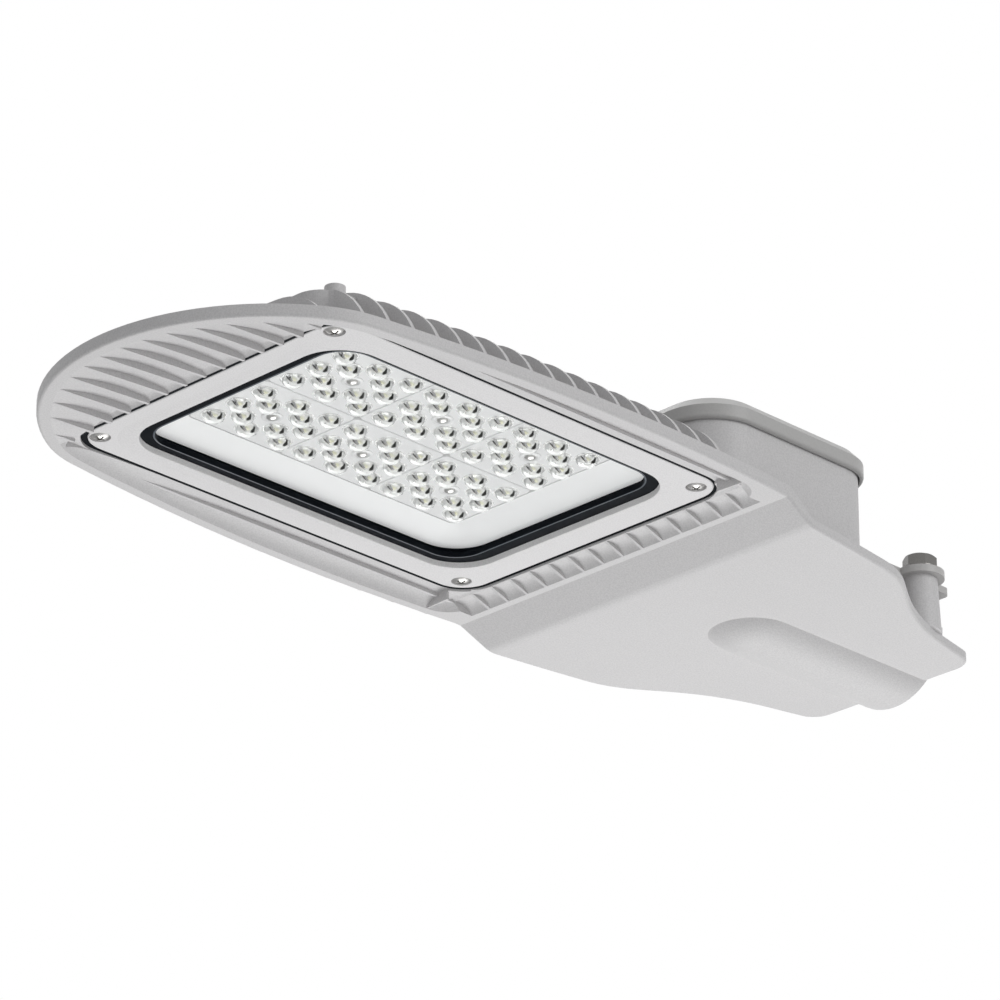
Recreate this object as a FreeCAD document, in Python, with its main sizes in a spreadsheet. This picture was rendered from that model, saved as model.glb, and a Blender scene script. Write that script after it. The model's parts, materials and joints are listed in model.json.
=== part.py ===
import FreeCAD, Part
import math
import os

import Sketcher
from FreeCAD import Placement, Rotation, Vector

# Street light head, millimetres. The origin is on the pole socket's axis at its
# mouth, X runs from the mouth towards the nose as negative values, Y is across
# and Z is up. Distances "from_mouth" and "from_window" run along X; the window
# is the rectangle of lenses underneath.

SIZES = {
    # outline seen from below
    "window_from_mouth": 299,
    "nose_reach": 163.0,
    "nose_radius": 96,
    "shoulder_radius": 50,
    "side_radius": 950,
    "half_width": 98.8,
    "widest_from_window": 42,
    "side_end_from_mouth": 124,
    "flank_from_mouth": 92,
    "flank_radius": 55,
    "waist_from_mouth": 49.6,
    "waist_half": 56.0,
    "waist_radius": 126,
    "tail_half": 45.3,
    "tail_radius": 10.5,
    "edge_round": 1.4,
    # rim, step and neck plate
    "rim_face_z": -14.0,
    "rim_wall": 5.2,
    "rim_band": 5.6,
    "deck_z": -3.5,
    "deck_inset": 13,
    "plate_face_z": -22.1,
    "plate_wall": 3.9,
    "step_from_mouth": 172.6,
    "step_foot_from_mouth": 156,
    "step_radius": 12,
    "step_shelf": 2,
    "step_top_round": 4,
    # lens window, from the bezel's face upwards
    "bezel_half_x": 109.6,
    "bezel_half_y": 76.6,
    "bezel_shift": 1.0,
    "bezel_radius": 14,
    "bezel_face_z": -9.4,
    "bezel_wall": 3.4,
    "bezel_gap": 1.3,
    "bezel_nose_gap": 3.3,
    "bezel_edge_round": 0.8,
    "window_half_x": 95.6,
    "window_half_y": 64.0,
    "window_radius": 14,
    "crease_width": 6.4,
    "crease_rise": 1.1,
    "glass_overlap": 3.0,
    "glass_wall": 3.0,
    "glass_clearance": 0.1,
    "gasket_wall": 1.0,
    "gasket_reach_x": 9.3,
    "gasket_reach_y": 7.7,
    "gasket_back_reach": 3.2,
    "seat_gap": 0.2,
    "tray_margin": 3.5,
    "tray_slant": 3.0,
    "tray_radius": 3.0,
    "chamber_margin": 4.5,
    "roof_wall": 2.5,
    # LED board and lens modules
    "lens_face_z": 2.2,
    "lens_plate": 1.0,
    "board_wall": 1.2,
    "board_margin": 3.0,
    "module_pitch_x": 50,
    "module_pitch_y": 46.49,
    "module_gap": 0.4,
    "module_columns": 3,
    "module_rows": 2,
    "module_radius": 2.5,
    "module_screw_radius": 1.2,
    "module_screw_length": 3.8,
    "module_head_radius": 2.3,
    "module_head_height": 1.3,
    "lens_pitch_x": 17.94,
    "lens_pitch_y": 14.91,
    "lens_radius": 4.85,
    "lens_height": 3.4,
    "lens_crown": 2.6,
    "chip_side": 3.2,
    "chip_height": 0.5,
    "chip_clearance": 0.2,
    # ribs in the scooped channel round the bezel
    "scoop_z": -9.2,
    "nose_scoop_run": 32,
    "side_scoop_run": 11,
    "side_scoop_end": 103.5,
    "rib_pitch": 11.2,
    "rib_wall": 1.4,
    "nose_ribs": 14,
    "nose_rib_pitch": 11.03,
    "nose_rib_z": -11.0,
    "nose_lip_z": -10.5,
    "nose_lip_run": 4.5,
    "tail_ribs": 14,
    "tail_rib_z": -10.4,
    "tail_rib_end_from_window": 122.6,
    "tail_scoop_depth": 1.7,
    "side_rib_half": 84.0,
    "side_rib_z": -11.1,
    # cooling fins and the raised LED compartment
    "fins": 18,
    "fin_pitch": 11.76,
    "fin_wall": 2.0,
    "first_fin_from_window": 120.5,
    "second_fin_from_window": 104,
    "fin_inset": 1.2,
    "fin_sink": 0.2,
    "fin_slope_run": 10,
    "fin_rise_nose": 20.2,
    "fin_rise_tail": 18.2,
    "fin_arch": 4.0,
    "fin_arch_radius": 500,
    "fin_shoulder": 33,
    "first_fin_share": 0.48,
    "second_fin_share": 0.88,
    "raised_nose_from_window": 112,
    "raised_tail_from_window": 104,
    "raised_half": 70.7,
    "raised_radius": 13,
    # screw posts and their screws
    "post_nose_from_window": 101.9,
    "post_tail_from_window": 100.9,
    "post_half": 67.8,
    "post_radius": 4.2,
    "post_top_z": 9.6,
    "bezel_screw_radius": 2.0,
    "bezel_screw_length": 15,
    "bezel_head_radius": 3.8,
    "bezel_head_height": 2.3,
    "bezel_recess_radius": 4.4,
    "bezel_recess_depth": 1.5,
    "hole_clearance": 0.1,
    # driver box and its lid
    "box_nose_from_mouth": 198,
    "box_tail_from_mouth": 98.1,
    "box_half": 77.8,
    "box_nose_radius": 22,
    "box_tail_radius": 18,
    "box_wall": 3.5,
    "box_top_z": 25.2,
    "box_floor_z": -2.3,
    "well_from_mouth": 153,
    "lid_overhang": 2.5,
    "lid_skirt_gap": 0.8,
    "lid_skirt_bottom_z": 22.2,
    "lid_skirt": 6.1,
    "lid_wall": 3.0,
    "lid_bevel_rise": 4.3,
    "lid_bevel_run": 4.0,
    "lid_gasket_wall": 1.0,
    "lid_gasket_land": 3.0,
    "lid_edge_round": 1.5,
    "lid_boss_radius": 5.0,
    "lid_boss_inset": 12.5,
    "lid_screw_radius": 2.0,
    "lid_screw_length": 16,
    "lid_head_radius": 3.8,
    "lid_head_height": 2.4,
    # what the driver box holds
    "driver_length": 116,
    "driver_width": 36,
    "driver_height": 22,
    "driver_foot": 9,
    "driver_foot_wall": 1.5,
    "driver_gap": 2.0,
    "driver_screw_radius": 1.5,
    "driver_head_radius": 2.9,
    "driver_head_height": 1.8,
    "driver_screw_reach": 6.0,
    "terminal_length": 30,
    "terminal_width": 17,
    "terminal_height": 15,
    "terminal_half": 32,
    "terminal_well_radius": 2.2,
    "ground_half": 46,
    "ground_screw_radius": 2.0,
    "ground_head_radius": 3.8,
    "ground_reach": 3.0,
    # pole socket, its clamp and the cable entry
    "pole_radius": 25,
    "pole_depth": 85,
    "pole_stop": 4,
    "channel_wall": 4,
    "channel_ball_from_mouth": 91.3,
    "boss_from_mouth": 34.5,
    "boss_half": 46.5,
    "boss_foot_radius": 8.5,
    "boss_draft": 2.55,
    "boss_top_z": 6.5,
    "clamp_length": 44,
    "clamp_wall": 3.2,
    "clamp_edge_half": 44.5,
    "clamp_ear_radius": 10.5,
    "clamp_round": 3.0,
    "bolt_radius": 4.0,
    "bolt_length": 24,
    "bolt_head_flats": 13,
    "bolt_head_height": 5.3,
    "washer_radius": 8.0,
    "washer_wall": 1.6,
    "gland_thread_radius": 8.0,
    "gland_hex_flats": 19,
    "gland_hex_height": 4.0,
    "gland_cap_radius": 8.6,
    "gland_cap_length": 6.5,
    "gland_bore_radius": 4.0,
    "gland_nut_height": 4.0,
    "gland_thread_reach": 2.0,
    "wire_hole_radius": 2.6,
    "wire_hole_half": 30,
    "grommet_wall": 0.9,
    "grommet_lip": 1.5,
    "grommet_sleeve": 6.0,
}

doc = FreeCAD.newDocument("street_light_head")
sheet = doc.addObject("Spreadsheet::Sheet", "Sizes")
for row, (alias, number) in enumerate(SIZES.items(), start=1):
    sheet.set("A%d" % row, alias)
    sheet.set("B%d" % row, str(number))
    sheet.setAlias("B%d" % row, alias)
doc.recompute()


class Values:
    """The sheet's values by alias."""

    def __getattr__(self, alias):
        return float(sheet.get(alias))


v = Values()
SUB_PARTS = []

# places that several pieces share
window_x = -v.window_from_mouth
rim_top_z = v.rim_face_z + v.rim_wall
pocket_roof_z = v.bezel_face_z + v.bezel_wall
gasket_stack = 2 * v.gasket_wall + v.glass_wall
pocket_nose_x = window_x + v.bezel_shift - v.bezel_half_x - v.bezel_nose_gap
pocket_tail_x = window_x + v.bezel_shift + v.bezel_half_x + v.bezel_gap
pocket_half_y = v.bezel_half_y + v.bezel_gap
recess_roof_z = pocket_roof_z + gasket_stack
board_face_z = v.lens_face_z + v.lens_plate
chamber_roof_z = board_face_z + v.board_wall
plate_top_z = v.plate_face_z + v.plate_wall
box_nose_x = -v.box_nose_from_mouth
box_tail_x = -v.box_tail_from_mouth
box_middle_x = (box_nose_x + box_tail_x) / 2
ACROSS = 2 * v.half_width + 40


# Outlines

def at(x, y):
    return Vector(x, y, 0)


def rounded(points, closed=True):
    """Straight edges through (x, y, radius) corners, each one rounded."""
    count = len(points)
    corners = []
    for index, (x, y, radius) in enumerate(points):
        here = at(x, y)
        if radius == 0 or (not closed and index in (0, count - 1)):
            corners.append((here, None, here))
            continue
        x_before, y_before = points[index - 1][:2]
        x_after, y_after = points[(index + 1) % count][:2]
        before = (at(x_before, y_before) - here).normalize()
        after = (at(x_after, y_after) - here).normalize()
        half_angle = before.getAngle(after) / 2
        reach = radius / math.tan(half_angle)
        inward = (before + after).normalize()
        middle = here + inward * (radius / math.sin(half_angle) - radius)
        corners.append((here + before * reach, middle, here + after * reach))
    edges = []
    for index, (start, middle, finish) in enumerate(corners):
        if middle is not None:
            edges.append(Part.Arc(start, middle, finish))
        if closed or index < count - 1:
            following = corners[(index + 1) % count][0]
            if (following - finish).Length > 1e-6:
                edges.append(Part.LineSegment(finish, following))
    return edges


def rectangle(centre_x, half_x, half_y, radius, tail_radius=None):
    """A rounded rectangle that is symmetric about the X axis."""
    if tail_radius is None:
        tail_radius = radius
    return rounded([
        (centre_x - half_x, -half_y, radius),
        (centre_x + half_x, -half_y, tail_radius),
        (centre_x + half_x, half_y, tail_radius),
        (centre_x - half_x, half_y, radius),
    ])


def circle(x, y, radius):
    return Part.Circle(at(x, y), Vector(0, 0, 1), radius)


NOSE_CENTRE = at(window_x - v.nose_reach + v.nose_radius, 0)
SIDE_CENTRE = at(window_x + v.widest_from_window, v.half_width - v.side_radius)


def shoulder_centre():
    """Centre of the arc that touches both the nose arc and the side arc."""
    from_nose = v.nose_radius - v.shoulder_radius
    from_side = v.side_radius - v.shoulder_radius
    line = NOSE_CENTRE - SIDE_CENTRE
    span = line.Length
    along = (from_side ** 2 - from_nose ** 2 + span ** 2) / (2 * span)
    off = math.sqrt(from_side ** 2 - along ** 2)
    unit = line.normalize()
    return SIDE_CENTRE + unit * along + at(-unit.y, unit.x) * off


SHOULDER_CENTRE = shoulder_centre()
NOSE_WAY = (SHOULDER_CENTRE - NOSE_CENTRE).normalize()
SIDE_WAY = (SHOULDER_CENTRE - SIDE_CENTRE).normalize()


def side_half(x, inset=0):
    """Half width of the outline at x, along the side arc."""
    radius = v.side_radius - inset
    return SIDE_CENTRE.y + math.sqrt(radius ** 2 - (x - SIDE_CENTRE.x) ** 2)


def outline_half(x, inset=0):
    """Half width of the outline at x, anywhere from the nose to the step."""
    nose_touch = NOSE_CENTRE + NOSE_WAY * v.nose_radius
    side_touch = SIDE_CENTRE + SIDE_WAY * v.side_radius
    if x > side_touch.x:
        return side_half(x, inset)
    centre, radius = SHOULDER_CENTRE, v.shoulder_radius
    if x < nose_touch.x:
        centre, radius = NOSE_CENTRE, v.nose_radius
    return centre.y + math.sqrt((radius - inset) ** 2 - (x - centre.x) ** 2)


def flipped(point):
    return at(point.x, -point.y)


def nose_and_sides(inset, end_x):
    """The arcs from the +Y side at end_x, round the nose, to the -Y side."""
    nose_touch = NOSE_CENTRE + NOSE_WAY * (v.nose_radius - inset)
    side_touch = SIDE_CENTRE + SIDE_WAY * (v.side_radius - inset)
    shoulder_way = (NOSE_WAY + SIDE_WAY).normalize()
    shoulder = SHOULDER_CENTRE + shoulder_way * (v.shoulder_radius - inset)
    tip = NOSE_CENTRE - at(v.nose_radius - inset, 0)
    end = at(end_x, side_half(end_x, inset))
    middle_x = (end_x + side_touch.x) / 2
    middle = at(middle_x, side_half(middle_x, inset))
    return [
        Part.Arc(end, middle, side_touch),
        Part.Arc(side_touch, shoulder, nose_touch),
        Part.Arc(nose_touch, tip, flipped(nose_touch)),
        Part.Arc(flipped(nose_touch), flipped(shoulder), flipped(side_touch)),
        Part.Arc(flipped(side_touch), flipped(middle), flipped(end)),
    ]


def deck_outline(inset, end_x):
    half = side_half(end_x, inset)
    return nose_and_sides(inset, end_x) + [Part.LineSegment(at(end_x, -half), at(end_x, half))]


def whole_outline():
    """Nose, sides, flanks, waist and tail in one closed line."""
    end_x = -v.side_end_from_mouth
    half = side_half(end_x)
    slope = (end_x - SIDE_CENTRE.x) / (half - SIDE_CENTRE.y)
    flank_half = half - slope * (-v.flank_from_mouth - end_x)
    lower = [
        (end_x, -half, 0),
        (-v.flank_from_mouth, -flank_half, v.flank_radius),
        (-v.waist_from_mouth, -v.waist_half, v.waist_radius),
        (0, -v.tail_half, v.tail_radius),
    ]
    upper = [(x, -y, radius) for x, y, radius in reversed(lower)]
    return nose_and_sides(0, end_x) + rounded(lower + upper, closed=False)


# Features

def new_body(name):
    body = doc.addObject("PartDesign::Body", name)
    body.Label = name
    SUB_PARTS.append(body)
    return body


def plane_of(body, role):
    return [item for item in body.Origin.OriginFeatures if item.Role == role][0]


def new_sketch(body, role, name, geometry, offset=None):
    """A sketch on an origin plane, moved along its normal by an expression."""
    sketch = body.newObject("Sketcher::SketchObject", name)
    sketch.AttachmentSupport = (plane_of(body, role), [""])
    sketch.MapMode = "FlatFace"
    if isinstance(offset, str):
        sketch.setExpression(".AttachmentOffset.Base.z", offset)
    elif offset is not None:
        sketch.AttachmentOffset = offset
    sketch.addGeometry(geometry, False)
    return sketch


def bind_radii(sketch, alias):
    """Every circle in the sketch gets its radius from the sheet."""
    for index, curve in enumerate(sketch.Geometry):
        if isinstance(curve, Part.Circle):
            number = sketch.addConstraint(Sketcher.Constraint("Radius", index, curve.Radius))
            sketch.setExpression("Constraints[%d]" % number, "Sizes." + alias)


def volume_of(body):
    if body.Shape.isNull():
        return 0
    return body.Shape.Volume


def checked(body, feature, before, adds):
    doc.recompute()
    change = volume_of(body) - before
    if not feature.isValid() or (change > 0) != adds or abs(change) < 1e-3:
        raise ValueError("%s %s changed nothing: %.3f" % (body.Label, feature.Label, change))
    return feature


def pad(body, name, sketch, length, middle=False, reverse=False, taper=0):
    before = volume_of(body)
    feature = body.newObject("PartDesign::Pad", name)
    feature.Profile = sketch
    feature.setExpression("Length", length)
    if middle:
        feature.SideType = "Symmetric"
    feature.Reversed = reverse
    feature.TaperAngle = taper
    feature.Refine = False
    return checked(body, feature, before, True)


def pocket(body, name, sketch, length, middle=False, reverse=False):
    before = volume_of(body)
    feature = body.newObject("PartDesign::Pocket", name)
    feature.Profile = sketch
    feature.setExpression("Length", length)
    if middle:
        feature.SideType = "Symmetric"
    feature.Reversed = reverse
    feature.Refine = False
    return checked(body, feature, before, False)


def turned(body, kind, name, sketch, axis, angle):
    """A revolution or groove about one of its sketch's own axes."""
    before = volume_of(body)
    feature = body.newObject("PartDesign::" + kind, name)
    feature.Profile = sketch
    feature.ReferenceAxis = (sketch, [axis])
    feature.Angle = angle
    feature.Midplane = True
    feature.Refine = False
    return checked(body, feature, before, kind == "Revolution")


def loft(body, kind, name, first, second, adds):
    before = volume_of(body)
    feature = body.newObject("PartDesign::" + kind, name)
    feature.Profile = first
    feature.Sections = [second]
    feature.Ruled = True
    feature.Refine = False
    return checked(body, feature, before, adds)


def radial(centre, degrees):
    """A plane through a vertical axis at centre: x points outwards, y points up."""
    angle = math.radians(degrees)
    outward = Vector(math.cos(angle), math.sin(angle), 0)
    up = Vector(0, 0, 1)
    return Placement(centre, Rotation(outward, up, outward.cross(up), "XYZ"))


# Housing: one casting

def add_shell(body):
    """Rim slab, step, neck plate and the deck that slopes up under the fins."""
    sketch = new_sketch(body, "XY_Plane", "outline", whole_outline(), "Sizes.plate_face_z")
    pad(body, "slab", sketch, "Sizes.rim_face_z + Sizes.rim_wall - Sizes.plate_face_z")

    nose_x = window_x - v.nose_reach - 20
    below = v.plate_face_z - 10
    step = rounded([
        (nose_x, v.rim_face_z, 0),
        (-v.step_from_mouth, v.rim_face_z, 0),
        (-v.step_foot_from_mouth, v.plate_face_z, v.step_radius),
        (20, v.plate_face_z, 0),
        (20, below, 0),
        (nose_x, below, 0),
    ])
    sketch = new_sketch(body, "XZ_Plane", "step_profile", step)
    pocket(body, "step", sketch, "%f" % ACROSS, middle=True)

    round_lower_edges(body)

    slope_side_walls(body)

    wall_x = -v.step_foot_from_mouth
    side = v.half_width + 20
    box_half = v.box_half
    around_box = rounded([
        (wall_x, -side, 0),
        (20, -side, 0),
        (20, side, 0),
        (wall_x, side, 0),
        (wall_x, box_half, 0),
        (box_tail_x, box_half, v.box_tail_radius),
        (box_tail_x, -box_half, v.box_tail_radius),
        (wall_x, -box_half, 0),
    ])
    sketch = new_sketch(body, "XY_Plane", "above_plate", around_box, "Sizes.rim_face_z + Sizes.rim_wall")
    pocket(body, "neck_top", sketch, "Sizes.rim_face_z + Sizes.rim_wall - Sizes.plate_face_z - Sizes.plate_wall")

    foot_x = -v.step_from_mouth
    low = new_sketch(body, "XY_Plane", "deck_low", deck_outline(v.fin_inset, foot_x),
                     "Sizes.rim_face_z + Sizes.rim_wall")
    high = new_sketch(body, "XY_Plane", "deck_high", deck_outline(v.deck_inset, foot_x), "Sizes.deck_z")
    loft(body, "AdditiveLoft", "deck", low, high, True)


def slope_side_walls(body):
    """Beside the driver box the rim's top comes down with the step."""
    shelf_x = -v.step_from_mouth + v.step_shelf
    foot_x = -v.step_foot_from_mouth
    above = rim_top_z + 1
    profile = rounded([
        (shelf_x - v.step_top_round, rim_top_z, 0),
        (shelf_x, rim_top_z, v.step_top_round),
        (foot_x, plate_top_z, v.step_top_round),
        (foot_x + v.step_top_round, plate_top_z, 0),
        (foot_x + v.step_top_round, above, 0),
        (shelf_x - v.step_top_round, above, 0),
    ])
    width = "%f" % (v.half_width + 20 - v.box_half)
    for name, side in (("near", 1), ("far", -1)):
        place = Placement(Vector(0, 0, side * v.box_half), Rotation())
        sketch = new_sketch(body, "XZ_Plane", "side_slope_%s_profile" % name, profile, place)
        pocket(body, "side_slope_" + name, sketch, width, reverse=side > 0)


def round_lower_edges(body):
    """The lower edge of the rim and of the neck plate is rounded."""
    names = []
    for index, edge in enumerate(body.Shape.Edges, start=1):
        box = edge.BoundBox
        flat = box.ZLength < 1e-6
        low = abs(box.ZMin - v.rim_face_z) < 1e-6 or abs(box.ZMin - v.plate_face_z) < 1e-6
        crosses = box.XLength < 1e-6 and box.XMin < -1
        if flat and low and not crosses:
            names.append("Edge%d" % index)
    before = volume_of(body)
    base = body.Tip
    feature = body.newObject("PartDesign::Fillet", "lower_edges")
    feature.Base = (base, names)
    feature.setExpression("Radius", "Sizes.edge_round")
    feature.Refine = False
    checked(body, feature, before, False)


RAISED_TOP = "Sizes.lens_face_z + Sizes.lens_plate + Sizes.board_wall + Sizes.roof_wall"
TO_SCREW_TIP = "Sizes.bezel_face_z + Sizes.bezel_recess_depth + Sizes.bezel_screw_length + 1"


def raised_span():
    half_x = (v.raised_nose_from_window + v.raised_tail_from_window) / 2
    return half_x, window_x - v.raised_nose_from_window + half_x


def add_raised_parts(body):
    """LED compartment, driver box, screw posts, pole channel and clamp bosses."""
    half_x, centre_x = raised_span()
    outline = rectangle(centre_x, half_x, v.raised_half, v.raised_radius)
    sketch = new_sketch(body, "XY_Plane", "raised_outline", outline, "Sizes.rim_face_z + Sizes.rim_wall")
    pad(body, "led_compartment", sketch, RAISED_TOP + " - Sizes.rim_face_z - Sizes.rim_wall")

    outline = rectangle(box_middle_x, (box_tail_x - box_nose_x) / 2, v.box_half,
                        v.box_nose_radius, v.box_tail_radius)
    sketch = new_sketch(body, "XY_Plane", "box_outline", outline, "Sizes.rim_face_z + Sizes.rim_wall")
    pad(body, "driver_box", sketch, "Sizes.box_top_z - Sizes.rim_face_z - Sizes.rim_wall")

    posts = [circle(x, y, v.post_radius) for x, y in bezel_screw_places()]
    sketch = new_sketch(body, "XY_Plane", "post_circles", posts, "Sizes.deck_z - 1")
    bind_radii(sketch, "post_radius")
    pad(body, "screw_posts", sketch, "Sizes.post_top_z - Sizes.deck_z + 1")

    outer = v.pole_radius + v.channel_wall
    ball_x = -v.channel_ball_from_mouth
    turn = outer / math.sqrt(2)
    profile = [
        Part.LineSegment(at(0, 0), at(0, -outer)),
        Part.LineSegment(at(0, -outer), at(ball_x, -outer)),
        Part.Arc(at(ball_x, -outer), at(ball_x - turn, -turn), at(ball_x - outer, 0)),
        Part.LineSegment(at(ball_x - outer, 0), at(0, 0)),
    ]
    sketch = new_sketch(body, "XZ_Plane", "channel_profile", profile)
    turned(body, "Revolution", "pole_channel", sketch, "H_Axis", 180)

    bosses = [circle(x, y, v.boss_foot_radius) for x, y in clamp_bolt_places()]
    sketch = new_sketch(body, "XY_Plane", "boss_circles", bosses, "Sizes.plate_face_z + Sizes.plate_wall")
    bind_radii(sketch, "boss_foot_radius")
    pad(body, "clamp_bosses", sketch, "Sizes.boss_top_z - Sizes.plate_face_z - Sizes.plate_wall",
        taper=-v.boss_draft)


def add_fins(body):
    """Cross fins whose arched tops follow the outline, lower at the nose."""
    rows = doc.addObject("PartDesign::Body", "fin_rows")
    rows.AllowCompound = True
    shares = {0: v.first_fin_share, 1: v.second_fin_share}
    for number in range(int(v.fins)):
        share = shares.get(number, 1)
        middle_x = window_x - v.first_fin_from_window
        if number > 0:
            middle_x = window_x - v.second_fin_from_window + (number - 1) * v.fin_pitch
        along = number / (v.fins - 1)
        rise = (v.fin_rise_nose + (v.fin_rise_tail - v.fin_rise_nose) * along) * share
        foot = outline_half(middle_x) - v.fin_inset
        base = rim_top_z - v.fin_sink
        shoulder_y = foot - v.fin_slope_run
        shoulder_z = rim_top_z + rise
        crown_z = shoulder_z + v.fin_arch
        profile = rounded([
            (-foot, base, 0),
            (foot, base, 0),
            (foot, rim_top_z, 0),
            (shoulder_y, shoulder_z, shoulder_radius(rise)),
            (0, crown_z, v.fin_arch_radius),
            (-shoulder_y, shoulder_z, shoulder_radius(rise)),
            (-foot, rim_top_z, 0),
        ])
        place = Placement(Vector(0, 0, middle_x), Rotation())
        sketch = new_sketch(rows, "YZ_Plane", "fin_profile_%d" % (number + 1), profile, place)
        pad(rows, "fin_%d" % (number + 1), sketch, "Sizes.fin_wall", middle=True)

    base = "Sizes.rim_face_z"
    outline = pocket_outline(v.bezel_radius + v.bezel_gap)
    sketch = new_sketch(rows, "XY_Plane", "fin_feet_outline", outline, base)
    pocket(rows, "fin_feet", sketch, "Sizes.bezel_face_z + Sizes.bezel_wall + 1 - Sizes.rim_face_z",
           reverse=True)
    half_x, centre_x = raised_span()
    outline = rectangle(centre_x, half_x - 1, v.raised_half - 1, v.raised_radius - 1)
    sketch = new_sketch(rows, "XY_Plane", "fin_roots_outline", outline, base)
    pocket(rows, "fin_roots", sketch, RAISED_TOP + " - 0.5 - Sizes.rim_face_z", reverse=True)
    holes = [circle(x, y, v.bezel_screw_radius + v.hole_clearance) for x, y in bezel_screw_places()]
    sketch = new_sketch(rows, "XY_Plane", "fin_screw_circles", holes, base)
    pocket(rows, "fin_screw_holes", sketch, TO_SCREW_TIP + " - Sizes.rim_face_z", reverse=True)

    before = volume_of(body)
    feature = body.newObject("PartDesign::Boolean", "fins")
    feature.Type = "Fuse"
    feature.setObjects([rows])
    checked(body, feature, before, True)


def shoulder_radius(rise):
    """As large as the fin's sloping edge leaves room for."""
    slope = math.hypot(v.fin_slope_run, rise)
    turn = math.atan2(rise, v.fin_slope_run)
    return min(v.fin_shoulder, 0.95 * slope / math.tan(turn / 2))


def pocket_outline(radius):
    """The pocket that takes the bezel, wider open towards the nose."""
    half_x = (pocket_tail_x - pocket_nose_x) / 2
    return rectangle(pocket_nose_x + half_x, half_x, pocket_half_y, radius)


def cut_window(body):
    """The bezel's pocket, the recess for the glass and the LED compartment."""
    floor = "Sizes.rim_face_z"
    outline = pocket_outline(v.bezel_radius + v.bezel_gap)
    sketch = new_sketch(body, "XY_Plane", "bezel_pocket_outline", outline, floor)
    pocket(body, "bezel_pocket", sketch, "Sizes.bezel_face_z + Sizes.bezel_wall - Sizes.rim_face_z",
           reverse=True)

    edge = v.glass_overlap + v.gasket_wall + v.seat_gap
    outline = rectangle(window_x, v.window_half_x + edge, v.window_half_y + edge, v.window_radius + edge)
    sketch = new_sketch(body, "XY_Plane", "glass_recess_outline", outline, floor)
    to_recess = "Sizes.bezel_face_z + Sizes.bezel_wall + 2 * Sizes.gasket_wall + Sizes.glass_wall"
    pocket(body, "glass_recess", sketch, to_recess + " - Sizes.rim_face_z", reverse=True)

    margin = v.chamber_margin
    outline = rectangle(window_x, v.window_half_x - margin, v.window_half_y - margin,
                        v.window_radius - margin / 3)
    sketch = new_sketch(body, "XY_Plane", "chamber_outline", outline, floor)
    to_roof = "Sizes.lens_face_z + Sizes.lens_plate + Sizes.board_wall"
    pocket(body, "led_chamber", sketch, to_roof + " - Sizes.rim_face_z", reverse=True)


def scoop_profile(radius, run, depth_in):
    """Half section of a scoop that starts at the rim band and rises inwards."""
    start = radius - v.rim_band
    rise = v.scoop_z - v.rim_face_z
    turn = (run ** 2 + rise ** 2) / (2 * rise)
    steep = math.asin(run / turn) / 2
    centre = at(start - run, v.scoop_z - turn)
    middle = centre + at(turn * math.sin(steep), turn * math.cos(steep))
    inner = start - depth_in
    return [
        Part.LineSegment(at(inner, v.rim_face_z - 1), at(start, v.rim_face_z - 1)),
        Part.LineSegment(at(start, v.rim_face_z - 1), at(start, v.rim_face_z)),
        Part.Arc(at(start, v.rim_face_z), middle, at(start - run, v.scoop_z)),
        Part.LineSegment(at(start - run, v.scoop_z), at(inner, v.scoop_z)),
        Part.LineSegment(at(inner, v.scoop_z), at(inner, v.rim_face_z - 1)),
    ]


def cut_nose_louvres(body):
    """A scoop that follows the nose, crossed by straight ribs."""
    reach = NOSE_CENTRE.x - pocket_nose_x
    angle = 2 * math.degrees(math.atan2(NOSE_WAY.y, -NOSE_WAY.x))
    place = radial(NOSE_CENTRE, 180)
    profile = scoop_profile(v.nose_radius, v.nose_scoop_run, v.nose_radius - v.rim_band - reach * 0.6)
    sketch = new_sketch(body, "XY_Plane", "nose_scoop_profile", profile, place)
    turned(body, "Groove", "nose_scoop", sketch, "V_Axis", angle)

    lip_x = pocket_nose_x - v.nose_lip_run
    bulge = at(pocket_nose_x - v.nose_lip_run * 0.3, v.scoop_z + (v.nose_lip_z - v.scoop_z) * 0.4)
    lip = [Part.Arc(at(lip_x, v.scoop_z), bulge, at(pocket_nose_x, v.nose_lip_z))] + rounded([
        (pocket_nose_x, v.nose_lip_z, 0),
        (pocket_nose_x, v.scoop_z + 0.5, 0),
        (lip_x, v.scoop_z + 0.5, 0),
        (lip_x, v.scoop_z, 0),
    ], closed=False)
    sketch = new_sketch(body, "XZ_Plane", "nose_lip_profile", lip)
    pad(body, "nose_lip", sketch, "%f" % (2 * (pocket_half_y - v.bezel_radius)), middle=True)

    middle = (v.nose_ribs - 1) / 2
    half = v.rib_wall / 2
    ribs = []
    for number in range(int(v.nose_ribs)):
        y = (number - middle) * v.nose_rib_pitch
        start_x = NOSE_CENTRE.x - math.sqrt((v.nose_radius - v.rim_band / 2) ** 2 - y ** 2)
        ribs += rounded([
            (start_x, y - half, 0),
            (pocket_nose_x, y - half, 0),
            (pocket_nose_x, y + half, 0),
            (start_x, y + half, 0),
        ])
    sketch = new_sketch(body, "XY_Plane", "nose_rib_outlines", ribs, "Sizes.rim_face_z")
    pad(body, "nose_ribs", sketch, "Sizes.scoop_z - Sizes.rim_face_z + 0.5")

    start = v.nose_radius - v.rim_band
    cone = rounded([
        (start, v.rim_face_z - 1, 0),
        (start, v.rim_face_z, 0),
        (reach, v.nose_rib_z, 0),
        (reach * 0.6, v.nose_rib_z, 0),
        (reach * 0.6, v.rim_face_z - 1, 0),
    ])
    sketch = new_sketch(body, "XY_Plane", "nose_rib_edge", cone, place)
    turned(body, "Groove", "nose_rib_edges", sketch, "V_Axis", angle)


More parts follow.
